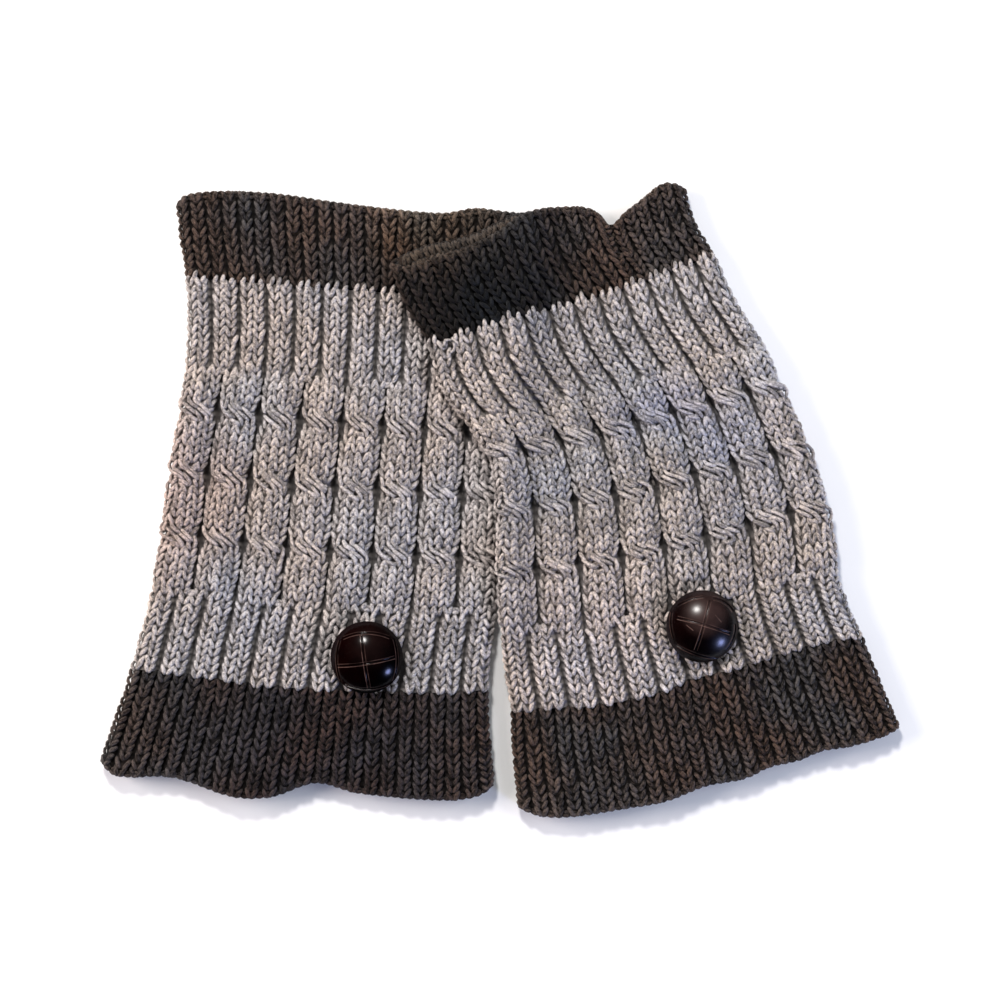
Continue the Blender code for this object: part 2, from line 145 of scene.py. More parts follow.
# The buttons' dome and rim: how far down each step of the rim goes, and how far in
DOME_RISE = 6.2
RIM_STEPS = ((1.0, 1.0), (0.8, 0.985), (0.9, 0.9))
BALL_SEGMENTS = 128
BALL_RINGS = 96
RING_SEGMENTS = 160
WORN_LINE_AWAY = 0.55
WORN_LINE_WIDTH = 0.2
SCRATCH_WIDTH = 0.14
# Where the painted glow round the window lamp's highlight sits on a button, from its middle, and how far it
# reaches
HIGHLIGHT_GLOW_X = 1.0
HIGHLIGHT_GLOW_Y = 4.5
HIGHLIGHT_GLOW_RADIUS = 9.5

# A stitch is two legs of yarn, from the foot of its V up to its shoulder
LEG_ROWS = np.array([1.16, 0.98, 0.68, 0.34, 0.02, -0.16])
LEG_ASIDE = np.array([0.05, 0.11, 0.21, 0.32, 0.41, 0.42])
LEG_HEIGHT = np.array([-0.95, -0.22, 0.30, 0.36, -0.10, -0.95])
LEG_GIRTH = np.array([0.55, 0.86, 1.00, 1.00, 0.86, 0.55])
FULL_LEG = [0, 1, 2, 3, 4, 5]
PLAIN_LEG = [0, 1, 3, 5]

# How high the yarn lies in front and underneath, how flat it is, and how far in under the other it stops
STITCH_SEAT = 0.3
LEG_LEVEL = -0.60
BACK_LEVEL = -1.35
BACK_FLATNESS = 0.5
BACK_LIFT = 0.3
HIDDEN_FROM = 12.0
UP_STEP = 0.2
FLATNESS = 0.8

# How much the stitches waver along and across a wale, in height and in girth
WAVER_ROWS = 0.07
WAVER_OPENING = 0.12
WAVER_HEIGHT = 0.12
WAVER_GIRTH = 0.08
WAVER_COLUMN = 0.04

# Where a strand crosses over, its legs close up and run along it like a plain cord
FLOW_REACH = 1.7
FLOW_ASIDE = 0.24
FLOW_CLOSES = 0.8
FLOW_LONGER = 0.05
FLOW_FLATTER = 0.3
FLOW_THINNER = 0.10
FLOW_WAVER = 0.2

# Row and share of a stray loop of light yarn at the right one's colour change
LOOSE_LOOP = (10.8, 0.075)

# Loops of light yarn over a rib: from and to, in ribs from its middle and in rows from the colour change
TIPS = ((-0.36, -0.22, 0.45, -0.60), (-0.08, 0.05, 0.40, -0.85), (0.20, 0.36, 0.45, -0.55))

# The right one lies on the left one, and comes down to the floor beside it
REST_HEIGHT = WALL_LEVEL + CLEARANCE
DESCENT = 16.0
LEVEL_UNTIL_Y = -37.0
FLOOR_FROM_Y = -66.0

Station = namedtuple("Station", "row left_x left_y right_x right_y")
Edge = namedtuple("Edge", "across out")
Wave = namedtuple("Wave", "across rise half_width")
Crease = namedtuple("Crease", "start_x start_y end_x end_y half_width rise")
Groove = namedtuple("Groove", "start middle end")
Spot = namedtuple("Spot", "x y radius strength colour")
# A yarn's places are its soft round places of painted light and shade and of tint
Yarn = namedtuple("Yarn", "light dark warm cool places patch_scale")
Light = namedtuple("Light", "name place size power colour shines")
Button = namedtuple("Button", "x y grooves arcs scratches gloss coat satin crown")
Cut = namedtuple("Cut", "normal away sides kind")
Warmer = namedtuple(
    "Warmer", "name sides mouth_front mouth_back upper lower hem waves lies_over creases button"
)

LEFT_SIDES = [
    Station(0, -111.8, 102.6, 6.9, 99.1),
    Station(5, -110.4, 89.7, 5.9, 83.9),
    Station(10, -108.3, 76.9, 4.5, 68.6),
    Station(16, -107.6, 60.9, 3.1, 52.6),
    Station(21, -108.3, 47.0, 2.1, 38.4),
    Station(26.5, -110.4, 31.8, 1.0, 23.8),
    Station(34.5, -114.2, 9.9, 0.0, 2.3),
    Station(42.5, -117.0, -11.6, -0.7, -19.3),
    Station(50, -120.5, -31.8, -1.7, -38.7),
    Station(55, -124.0, -45.7, -3.5, -51.9),
    Station(60, -127.4, -58.5, -4.5, -65.8),
    Station(66, -132.3, -73.4, -3.8, -82.5),
    Station(73, -138.2, -90.1, -2.4, -98.4),
]
RIGHT_SIDES = [
    Station(0, -37.8, 81.4, 63.5, 107.8),
    Station(5, -32.3, 67.5, 67.3, 96.0),
    Station(10, -24.3, 53.6, 74.2, 84.2),
    Station(14, -21.9, 42.9, 80.4, 70.3),
    Station(18, -17.4, 34.2, 86.3, 61.0),
    Station(22, -10.4, 25.5, 92.0, 51.9),
    Station(26.5, -4.2, 16.1, 97.3, 40.0),
    Station(30, -1.7, 7.1, 101.7, 29.7),
    Station(34.5, -0.7, -4.0, 106.8, 18.6),
    Station(38, -0.7, -13.7, 110.4, 7.8),
    Station(42.5, -0.7, -25.2, 113.6, -2.6),
    Station(46, -0.3, -34.5, 115.5, -14.4),
    Station(50, 0.7, -46.4, 117.0, -25.9),
    Station(55, 2.1, -59.5, 120.5, -37.0),
    Station(60, 4.2, -73.4, 125.3, -47.7),
    Station(66, 4.9, -89.4, 131.9, -63.7),
    Station(73, 6.6, -106.1, 138.2, -78.6),
]


def edge(*pairs):
    """A table of how far an edge stands out towards the mouth, past the straight line between its folds."""
    return [Edge(across, out) for across, out in pairs]


LEFT_MOUTH = edge(
    (0, 0), (0.02, 2.4), (0.06, 3.7), (0.15, 4.6), (0.30, 4.1), (0.45, 2.0), (0.65, -0.2), (0.78, -0.8),
    (0.87, 1.2), (0.95, 0.4), (1, 0),
)
LEFT_UPPER = edge((0, 0), (1, 0))
LEFT_LOWER = edge((0, 0), (0.19, -1.4), (0.36, -3.0), (0.50, -3.4), (0.70, -2.8), (0.88, -2.0), (1, 0))
LEFT_HEM = edge(
    (0, 0), (0.03, -4.0), (0.08, -4.9), (0.14, -4.0), (0.20, -4.3), (0.33, -9.0), (0.39, -9.6), (0.45, -8.4),
    (0.55, -3.0), (0.66, -5.6), (0.89, -6.1), (0.97, -3.8), (1, 0),
)
RIGHT_MOUTH_FRONT = edge(
    (0, 0), (0.055, -2.8), (0.17, -1.8), (0.26, -1.3), (0.38, 1.5), (0.45, 4.4), (0.53, 5.2), (0.65, 2.9),
    (0.70, -0.2), (0.73, -6.0), (0.79, -3.2), (0.86, -0.2), (0.94, 3.2), (0.985, 1.8), (1, 0),
)
RIGHT_MOUTH_BACK = edge(
    (0, 0), (0.03, 1.4), (0.12, 2.9), (0.26, 2.6), (0.38, 4.6), (0.45, 5.6), (0.53, 5.0), (0.65, 2.4),
    (0.70, -0.8), (0.73, -6.3), (0.79, -3.6), (0.86, -0.8), (0.93, 1.6), (1, 0),
)
RIGHT_UPPER = edge(
    (0, 0), (0.14, -0.5), (0.25, 0.4), (0.42, -0.8), (0.565, -1.3), (0.67, -1.0), (0.81, -0.2), (1, 0)
)
RIGHT_LOWER = edge(
    (0, 0), (0.14, -2.2), (0.22, -3.9), (0.41, -4.2), (0.51, -2.0), (0.65, -1.5), (0.80, 0.4), (0.94, 0.8),
    (1, 0),
)
RIGHT_HEM = edge(
    (0, 0), (0.03, -3.2), (0.08, -5.8), (0.16, -7.2), (0.27, -7.9), (0.37, -8.2), (0.48, -6.0), (0.58, -6.2),
    (0.65, -4.1), (0.73, -3.9), (0.79, -2.3), (0.87, -2.7), (0.96, -1.6), (1, 0),
)

LEFT_WAVES = [Wave(0.12, 1.2, 0.09), Wave(0.38, 2.4, 0.11), Wave(0.84, 1.7, 0.12)]
RIGHT_WAVES = [Wave(0.14, 1.5, 0.10), Wave(0.37, 2.0, 0.10), Wave(0.60, 1.1, 0.07), Wave(0.86, 1.4, 0.09)]

# The pleat in the top band of the right one, where it lies over the other
PLEAT_START = 0.73
PLEAT_DRIFT = 0.008
PLEAT_DEPTH = 2.0
PLEAT_HALF_WIDTH = 0.055
PLEAT_END_ROW = 15

# Soft creases over the floor plan: where each starts and ends, its half width, and how far it rises or sinks
LEFT_CREASES = [
    Crease(-108, 62, -84, 40, 4.5, -0.6),
    Crease(-60, 55, -52, 20, 6.0, 0.4),
    Crease(-30, 30, -12, -8, 5.0, -0.5),
    Crease(-112, -20, -88, -32, 5.5, 0.5),
    Crease(-78, -62, -70, -88, 4.0, -0.7),
    Crease(-30, -60, -24, -84, 4.0, -0.6),
]
RIGHT_CREASES = [
    Crease(15.6, 55.7, 38.2, 17.5, 3.2, -1.5),
    Crease(31.2, 45.3, 55.6, 3.6, 3.6, -1.2),
    Crease(24.0, 50.0, 44.0, 14.0, 4.0, 0.7),
    Crease(62, 60, 84, 40, 5.0, 0.5),
    Crease(4, 0, 20, -30, 5.0, 0.5),
    Crease(38, -66, 46, -92, 4.5, -0.6),
    Crease(88, -52, 98, -78, 4.5, -0.6),
]

# Painted light and shade on the body's yarn, in soft round places over the floor plan: warm light at the left
# one's outer edge, cooler, bluer light over the right one and over part of the left one, shade along the
# right one's creases, and a lighter place over its lower ribs
HEATHER_PAINTED_LIGHT_AND_SHADE = (
    Spot(-125, 5, 42, 0.9, (1.0, 0.84, 0.78)),
    Spot(40, 22, 42, 0.8, (0.86, 0.90, 0.93)),
    Spot(-88, -30, 26, 0.6, (0.88, 0.93, 1.0)),
    Spot(85, 20, 30, 0.6, (0.9, 0.93, 1.0)),
    Spot(70, 10, 110, 0.9, (1.01, 1.02, 1.03)),
    Spot(59, 34, 13, 0.8, (0.82, 0.84, 0.99)),
    Spot(43, 28, 13, 0.7, (0.84, 0.86, 0.97)),
    Spot(74, 24, 14, 0.7, (0.86, 0.88, 0.98)),
    Spot(32, -52, 40, 1.0, (1.16, 1.14, 1.15)),
)
# Tints of the bands' yarn in soft round places: painted shade darkens the left half of the right one's top
# band, and the others make a lighter, browner place near the left one's mouth, a darker one over the left
# one's hem, and browner ones on the right one's top band and hem
BAND_SHADE_AND_TINTS = (
    Spot(-8, 66, 46, 1.0, (0.10, 0.13, 0.17)),
    Spot(-22, 98, 26, 1.0, (2.7, 2.35, 1.85)),
    Spot(-60, -90, 75, 0.9, (0.50, 0.46, 0.53)),
    Spot(70, 85, 40, 0.5, (1.0, 0.86, 0.78)),
    Spot(70, -78, 34, 0.5, (1.0, 0.84, 0.78)),
)

LIGHTS = (
    Light("window", (-0.28, 1.12, 1.2), 0.28, 20.0, (1.0, 0.97, 0.94), True),
    Light("cool_side", (1.25, 0.2, 0.85), 1.0, 9.0, (0.86, 0.93, 1.0), False),
    Light("blue_side", (0.97, -0.80, 0.49), 0.26, 6.5, (0.42, 0.50, 1.0), True),
    Light("warm_side", (-1.3, 0.25, 0.62), 0.9, 25.0, (1.0, 0.90, 0.85), False),
)
EYE_HEIGHT = 1.160

# Buttons: where each sits, and its grooves through three points, all from the button's middle, and how strong
# the painted glow round the window lamp's highlight is on each
LEFT_BUTTON = Button(
    x=-46.0,
    y=-54.3,
    grooves=[
        Groove((-1.6, 8.0), (-0.4, -1.9), (1.0, -10.7)),
        Groove((-10.1, -2.8), (-0.4, -1.9), (9.9, 0.2)),
    ],
    arcs=[
        Groove((-8.2, 6.6), (-0.4, 8.6), (8.0, 6.9)),
        Groove((-7.6, -9.2), (0.6, -10.8), (8.0, -9.0)),
        Groove((-9.2, 6.0), (-10.2, -1.5), (-8.8, -8.6)),
        Groove((9.4, 6.4), (10.6, -1.0), (9.2, -8.2)),
    ],
    scratches=[],
    gloss=0.17,
    coat=0.42,
    satin=0.0,
    crown=0.15,
)
RIGHT_BUTTON = Button(
    x=69.8,
    y=-43.6,
    grooves=[
        Groove((-8.9, 3.1), (0.2, 0.8), (9.5, -2.4)),
        Groove((2.4, 9.0), (0.2, 0.8), (-2.6, -8.3)),
    ],
    arcs=[
        Groove((-9.0, -6.4), (-1.0, -9.9), (6.6, -11.2)),
        Groove((11.4, 0.8), (10.6, -4.2), (8.0, -8.2)),
        Groove((-10.6, 5.0), (-10.9, 0.4), (-9.8, -4.4)),
        Groove((3.4, 9.8), (7.4, 8.6), (10.8, 5.2)),
        Groove((-8.6, 7.2), (-4.6, 9.2), (0.2, 10.2)),
    ],
    scratches=[
        Groove((4.0, 4.3), (5.1, 3.0), (6.4, 1.5)),
        Groove((-5.9, 0.8), (-4.7, -0.2), (-3.3, -1.3)),
    ],
    gloss=0.26,
    coat=0.9,
    satin=0.03,
    crown=1.0,
)

WARMERS = {
    "left": Warmer(
        name="left",
        sides=LEFT_SIDES,
        mouth_front=LEFT_MOUTH,
        mouth_back=LEFT_MOUTH,
        upper=LEFT_UPPER,
        lower=LEFT_LOWER,
        hem=LEFT_HEM,
        waves=LEFT_WAVES,
        lies_over=False,
        creases=LEFT_CREASES,
        button=LEFT_BUTTON,
    ),
    "right": Warmer(
        name="right",
        sides=RIGHT_SIDES,
        mouth_front=RIGHT_MOUTH_FRONT,
        mouth_back=RIGHT_MOUTH_BACK,
        upper=RIGHT_UPPER,
        lower=RIGHT_LOWER,
        hem=RIGHT_HEM,
        waves=RIGHT_WAVES,
        lies_over=True,
        creases=RIGHT_CREASES,
        button=RIGHT_BUTTON,
    ),
}


def smooth(low, high, value):
    """0 below low, 1 above high, and an even S between them."""
    share = np.clip((value - low) / (high - low), 0.0, 1.0)
    return share * share * (3 - 2 * share)


class Curve:
    """A smooth curve through a table, read at any number of places at once."""

    def __init__(self, places, values):
        self.places = np.array(places, float)
        self.values = np.array(values, float)
        steps = np.arange(len(self.places))
        before = np.maximum(steps - 1, 0)
        after = np.minimum(steps + 1, steps[-1])
        self.slopes = (self.values[after] - self.values[before]) / (self.places[after] - self.places[before])

    def at(self, where):
        where = np.clip(where, self.places[0], self.places[-1])
        i = np.clip(np.searchsorted(self.places, where, side="right"), 1, len(self.places) - 1) - 1
        span = self.places[i + 1] - self.places[i]
        t = (where - self.places[i]) / span
        start = (1 + 2 * t) * (1 - t) ** 2 * self.values[i] + t * (1 - t) ** 2 * span * self.slopes[i]
        end = t * t * (3 - 2 * t) * self.values[i + 1] - t * t * (1 - t) * span * self.slopes[i + 1]
        return start + end


def face_length(width):
    """The length of one face of a flat tube, round its two folds."""
    return width - 2 * FOLD_RADIUS + 2 * FOLD_ARC


def section(width, share):
    """Inset, rise and outward direction on half of a flat tube's section, by the share of its length."""
    length = face_length(width)
    along = share * length
    from_end = np.minimum(along, length - along)
    angle = np.minimum(from_end / FOLD_RADIUS, math.pi / 2)
    on_fold = FOLD_RADIUS * (1 - np.cos(angle))
    near = np.where(from_end >= FOLD_ARC, FOLD_RADIUS + from_end - FOLD_ARC, on_fold)
    leftward = along < length / 2
    inset = np.where(leftward, near, width - near)
    aside = np.cos(angle) * np.where(leftward, -1.0, 1.0)
    return inset, FOLD_RADIUS * np.sin(angle), aside, np.sin(angle)


class Tube:
    """One knitted tube as it lies over the floor."""

    def __init__(self, warmer, other=None):
        self.warmer = warmer
        rows = [station.row for station in warmer.sides]
        self.sides = [
            Curve(rows, [getattr(station, name) for station in warmer.sides])
            for name in ("left_x", "left_y", "right_x", "right_y")
        ]
        self.key_rows = np.array([MOUTH, TOP_BAND_END, BODY_END, HEM_END], float)
        mouths = {False: warmer.mouth_front, True: warmer.mouth_back}
        self.edges = {
            back: [self.curve(table) for table in (mouth, warmer.upper, warmer.lower, warmer.hem)]
            for back, mouth in mouths.items()
        }
        below = WARMERS["left"].sides[::-1]
        above = WARMERS["right"].sides[::-1]
        self.lower_fold = Curve([s.right_y for s in below], [s.right_x for s in below])
        self.upper_fold = Curve([s.left_y for s in above], [s.left_x for s in above])
        self.upper_rim = None
        if other is not None:
            rim = [other.place(np.array(float(MOUTH)), np.array(share / 12), True) for share in range(13)]
            self.upper_rim = Curve([float(x) for x, _ in rim], [float(y) for _, y in rim])

    @staticmethod
    def curve(table):
        return Curve([entry.across for entry in table], [entry.out for entry in table])

    def folds(self, row):
        return [curve.at(row) for curve in self.sides]

    def width(self, row):
        left_x, left_y, right_x, right_y = self.folds(row)
        return np.hypot(right_x - left_x, right_y - left_y)

    def width_at(self, row):
        """The width at one row, as a plain number."""
        return float(self.width(np.array(float(row))))

    def stands_out(self, row, across, back):
        """How far the knitting stands out towards the mouth, between the shaped edges of the three pieces."""
        row = np.clip(row, MOUTH, HEM_END)
        i = np.clip(np.searchsorted(self.key_rows, row, side="right"), 1, 3) - 1
        share = (row - self.key_rows[i]) / (self.key_rows[i + 1] - self.key_rows[i])
        outs = np.stack(np.broadcast_arrays(*[curve.at(across) for curve in self.edges[back]], row)[:4])
        i, share = np.broadcast_to(i, outs.shape[1:]), np.broadcast_to(share, outs.shape[1:])
        first = np.take_along_axis(outs, i[None], 0)[0]
        second = np.take_along_axis(outs, i[None] + 1, 0)[0]
        return (1 - share) * first + share * second

    def place(self, row, across, back):
        """The point over the floor at a row and a share straight across the tube."""
        left_x, left_y, right_x, right_y = self.folds(row)
        above = self.folds(np.maximum(row - 1, MOUTH))
        below = self.folds(np.minimum(row + 1, HEM_END))
        up_x = above[0] + above[2] - below[0] - below[2]
        up_y = above[1] + above[3] - below[1] - below[3]
        out = self.stands_out(row, across, back) / np.hypot(up_x, up_y)
        x = left_x + (right_x - left_x) * across + up_x * out
        y = left_y + (right_y - left_y) * across + up_y * out
        return x, y

    def lift(self, x, y):
        """How high the underside lies: the right one rests on the left one and comes down beside it."""
        if not self.warmer.lies_over:
            return np.zeros_like(x)
        comes_down = smooth(0, DESCENT, x - self.lower_fold.at(y))
        reaches_floor = 1 - smooth(FLOOR_FROM_Y, LEVEL_UNTIL_Y, y)
        return REST_HEIGHT * (1 - comes_down) * (1 - reaches_floor)

    def under(self, x, y):
        """How far a point lies in under the other leg warmer, past its fold or its rim."""
        if self.upper_rim is None:
            return np.full_like(x, -99.0)
        return np.minimum(x - self.upper_fold.at(y), self.upper_rim.at(x) - y)

    def bare(self, x, y):
        """1 where nothing lies over the tube, fading to 0 in under the other one."""
        return 1 - smooth(-0.5, 2.0, self.under(x, y))

    def wave(self, row, across):
        """How far the front layer lifts off the back one at a flared hem, less the pleat in a top band."""
        warmer = self.warmer
        flare = smooth(BODY_END - 3, HEM_END, row)
        rise = sum(w.rise * np.exp(-(((across - w.across) / w.half_width) ** 2)) for w in warmer.waves)
        if not warmer.lies_over:
            return rise * flare
        crease = (across - PLEAT_START - PLEAT_DRIFT * row) / PLEAT_HALF_WIDTH
        return rise * flare - PLEAT_DEPTH * np.exp(-(crease**2)) * (1 - smooth(MOUTH + 4, PLEAT_END_ROW, row))

    def creased(self, x, y):
        """How far the soft creases lift or sink the front."""
        rise = np.zeros_like(x)
        for crease in self.warmer.creases:
            run_x, run_y = crease.end_x - crease.start_x, crease.end_y - crease.start_y
            length = math.hypot(run_x, run_y)
            along = ((x - crease.start_x) * run_x + (y - crease.start_y) * run_y) / length**2
            beside = ((x - crease.start_x) * run_y - (y - crease.start_y) * run_x) / length
            fades = smooth(-0.25, 0.35, along) * (1 - smooth(0.65, 1.25, along))
            rise += crease.rise * fades * np.exp(-((beside / crease.half_width) ** 2))
        return rise

    def at(self, row, share, relief, off, back):
        """A point on a face: relief is how far the ribs stand out, and off how far yarn lies off them."""
        width = self.width(row)
        inset, rise, aside, upward = section(width, share)
        across = (inset + aside * (relief * SIDE_RELIEF + off)) / width
        x, y = self.place(row, across, back)
        rise = rise + (relief + off) * upward
        if back:
            z = self.lift(x, y) + FOLD_RADIUS - rise
        else:
            rise = rise + (self.wave(row, across) + self.creased(x, y)) * upward
            z = self.lift(x, y) + FOLD_RADIUS + rise
        return np.stack([x, y, z], axis=-1)

    def laid(self, row, share, relief, off, back):
        """The points of yarn on a face, and the way up from each of them."""
        points = self.at(row, share, relief, off, back)
        return points, self.at(row, share, relief, off + UP_STEP, back) - points

    def inside(self, row, across, back):
        """A point on the inside of the tube, on its back or front wall."""
        width = self.width(row)
        inset = SIDE_WALL + (width - 2 * SIDE_WALL) * across
        x, y = self.place(row, inset / width, back)
        floor = self.lift(x, y)
        at_fold = (across <= 0) | (across >= 1)
        lifted = self.wave(row, inset / width)
        roof = BACK_WALL + np.maximum(THINNEST_GAP, INNER_GAP + lifted)
        roof = np.minimum(roof, WALL_LEVEL + lifted - THINNEST_FRONT)
        height = BACK_WALL if back else roof
        z = floor + np.where(at_fold, BACK_WALL + INNER_GAP / 2, height)
        return np.stack([x, y, z], axis=-1)


RIGHT_TUBE = Tube(WARMERS["right"])
TUBES = {"left": Tube(WARMERS["left"], RIGHT_TUBE), "right": RIGHT_TUBE}


def cabled(row):
    """1 where the body is cabled, 0 where it is ribbed, and between them where one becomes the other."""
    return smooth(CABLES_START - 1, CABLES_START + 1, row) - smooth(CABLES_END - 1, CABLES_END + 1, row)


def bells(row, middles, reach):
    """1 at each of the middles, fading to 0 over the reach on both sides of it."""
    bell = np.zeros_like(row)
    for middle in middles:
        t = np.clip((row - middle) / reach, -1, 1)
        bell = bell + (1 - t * t) ** 2
    return bell


def crossing_bell(row, reach=CROSSING_REACH):
    """1 at each crossing of the cables, fading to 0 over its reach."""
    return bells(row, CROSSINGS, reach)


def cable_ends(row):
    """1 where the cables start and where they end, fading to 0 beside it."""
    return bells(row, CABLE_END_ROWS, CABLE_END_REACH)


def crossing_dents(share, row):
    """1 in the slanting dent between two cables at a crossing, and at a rib's end, fading to 0 round it."""
    past_gutter = (share * GROUPS * 2 + 0.5) % 1 - 0.5
    from_rib = np.abs(share * GROUPS % 1 - 0.5)
    dents = np.zeros_like(row)
    for crossing in CROSSINGS:
        t = np.clip((row - crossing) / DENT_REACH, -1, 1)
        dents = dents + (1 - t * t) * np.exp(-(((past_gutter - DENT_SLANT * t) / DENT_WIDTH) ** 2))
    return dents + 0.5 * np.exp(-((from_rib / RIB_END_WIDTH) ** 2)) * cable_ends(row)


def band_relief(count, share):
    """Height of a knit-one purl-one rib of a band."""
    phase = share * count % 1
    return BAND_RELIEF * np.sin(math.pi * phase) ** BAND_ROUNDNESS


def body_relief(sizes, share, row):
    """Height of the body's ribs and cables, without what happens at a crossing."""
    group = share * GROUPS
    rib = np.abs(2 * (group * 3 % 1) - 1)
    cord = np.abs(2 * (group * 2 % 1) - 1)
    ribbed = sizes.rib_height / MM * RIB_FULLNESS * (1 - rib**2.4) ** RIB_ROUNDNESS
    pinched = crossing_bell(row, 2.6) + cable_ends(row)
    corded = sizes.cable_height / MM * CABLE_FULLNESS * (1 - cord**2) ** CABLE_ROUNDNESS
    corded = corded * (1 - CABLE_PINCH * pinched)
    part = cabled(row)
    return (1 - part) * ribbed + part * corded


def relief(tube, sizes, piece, row, share, x, y, seat):
    """How far the knitting stands out of the plain wall, pressed flat under a button or the other tube."""
    if piece == "top_band":
        height = band_relief(TOP_RIBS, share)
    elif piece == "hem_band":
        height = band_relief(HEM_RIBS, share)
    else:
        height = body_relief(sizes, share, row) - DENT_DEPTH * crossing_dents(share, row)
    button = tube.warmer.button
    past_button = np.hypot(x - button.x, y - button.y) - sizes.button_radius / MM
    clear = smooth(PRESSED_UNTIL, CLEAR_FROM, past_button)
    height = clear * height + (1 - clear) * seat
    return height * tube.bare(x, y)


def floor_place(tube, row, share, back):
    """The point over the floor under a share of a face, without its relief."""
    width = tube.width(row)
    return tube.place(row, section(width, share)[0] / width, back)


def wale_path(wale, row, crossing):
    """A wale's place in its group at a row, on its way over or under at the nearest crossing."""
    ribbed = RIB_WALES.get(wale, CABLE_WALES.get(wale))
    corded = CABLE_WALES.get(wale, RIB_WALES.get(wale))
    part = cabled(row)
    path = (1 - part) * ribbed + part * corded
    strands = next((strands for strands in CABLE_STRANDS if wale in strands), None)
    if strands is None:
        closes = smooth(CABLES_START - 2.2, CABLES_START, row) - smooth(CABLES_END, CABLES_END + 2.2, row)
        return 0.5 + (path - 0.5) * (1 - 0.22 * closes)
    if crossing is None:
        return path
    order = strands.index(wale)
    goes = CROSSING_SHIFT if order < 2 else -CROSSING_SHIFT
    stagger = CROSSING_STAGGER * (1 if order in (0, 3) else -1)
    past = row - crossing - stagger
    straight = np.clip((past + CROSSING_RUN) / (2 * CROSSING_RUN), 0, 1)
    eased = smooth(-CROSSING_RUN, CROSSING_RUN, past)
    path = path + goes * ((1 - CROSSING_EASE) * straight + CROSSING_EASE * eased)
    middle = 0.25 if wale < 5 else 0.75
    pinch = CROSSING_PINCH if order < 2 else UNDER_PINCH
    return middle + (path - middle) * (1 - pinch * crossing_bell(row, 3.0) - 0.1 * cable_ends(row))


def body_wales():
    """Each wale of one face: the rows of its stitches, whether it is cabled, and the crossing it meets."""
    halfway = [CABLES_START, *[(a + b) / 2 for a, b in zip(CROSSINGS, CROSSINGS[1:])], CABLES_END]
    runs = []
    for group in range(GROUPS):
        for wale in RIB_WALES:
            runs.append((group, wale, TOP_BAND_END, CABLES_START, False, None))
            runs.append((group, wale, CABLES_END, BODY_END, False, None))
        for wale in CABLE_WALES:
            for crossing, first, last in zip(CROSSINGS, halfway, halfway[1:]):
                runs.append((group, wale, math.ceil(first), math.ceil(last), True, crossing))
    return runs


class Legs:
    """Centre lines of many legs of yarn on one face of a tube, gathered and then made one mesh."""

    def __init__(self, tube, sizes, piece, back, seed):
        self.tube = tube
        self.sizes = sizes
        self.piece = piece
        self.back = back
        self.rings = PLAIN_LEG if back else FULL_LEG
        self.random = np.random.default_rng(seed)
        self.points = []
        self.ups = []
        self.girths = []
        self.kept = []

    def add(self, rows, shares, offs, girth):
        """Adds legs, each a line of these arrays: rows, shares and heights off the relief of its rings."""
        x, y = floor_place(self.tube, rows, shares, self.back)
        if self.back:
            height = np.full_like(x, BACK_LEVEL)
            offs = offs * BACK_FLATNESS
        else:
            height = relief(self.tube, self.sizes, self.piece, rows, shares, x, y, STITCH_SEAT) + LEG_LEVEL
        points, ups = self.tube.laid(rows, shares, height, offs, self.back)
        self.points.append(points)
        self.ups.append(ups)
        self.girths.append(girth)
        self.kept.append(self.tube.under(x, y).min(axis=1) < HIDDEN_FROM)

    def stitches(self, centre, first, last, pitch, lift=0.0, flowing=False):
        """Every stitch of one wale: centre gives its share at a row, and pitch is a column's width.

        Lift says how far it rises at a crossing, and flowing that its legs run along it there like a cord.
        """
        rows = np.arange(first, last, dtype=float)
        count = len(rows)
        if not count:
            return
        flows = crossing_bell(rows + 0.5, FLOW_REACH)[:, None] if flowing else np.zeros((count, 1))
        for hand in (-1, 1):
            shake = self.random.normal(0, 1, (5, count, 1))
            longer = (LEG_ROWS[self.rings] - 0.5) * (1 + FLOW_LONGER * flows) + 0.5
            at = rows[:, None] + longer + shake[0] * WAVER_ROWS
            length = face_length(self.tube.width(np.clip(at, MOUTH, HEM_END)))
            slope = (centre(at + 0.05) - centre(at - 0.05)) / 0.1 * length / ROW_HEIGHT
            opening = LEG_ASIDE[self.rings] * (1 - FLOW_CLOSES * flows) + FLOW_ASIDE * FLOW_CLOSES * flows
            wavers = 1 + shake[1] * (WAVER_OPENING + FLOW_WAVER * flows)
            aside = hand * pitch * opening * wavers + shake[4] * WAVER_COLUMN * pitch
            turn = np.hypot(1, slope)
            shares = np.clip(centre(at) + aside / turn / length, 0, 1)
            at = np.clip(at - aside * slope / turn / ROW_HEIGHT, MOUTH, HEM_END)
            offs = LEG_HEIGHT[self.rings] * (1 - FLOW_FLATTER * flows) + shake[2] * WAVER_HEIGHT
            girth = LEG_GIRTH[self.rings] * (1 + shake[3] * WAVER_GIRTH) * (1 - FLOW_THINNER * flows)
            self.add(at, shares, offs + lift * crossing_bell(at), girth)

    def mesh(self, name):
        kept = np.concatenate(self.kept)
        points = np.concatenate(self.points)[kept]
        ups = np.concatenate(self.ups)[kept]
        radius = self.sizes.body_yarn if self.piece == "body" else self.sizes.band_yarn
        girths = np.concatenate(self.girths)[kept] * (radius / MM)
        return strands(name, points, ups, girths, 4 if self.back else 6, self.random)


def unit(vectors):
    return vectors / np.maximum(np.linalg.norm(vectors, axis=-1, keepdims=True), 1e-9)


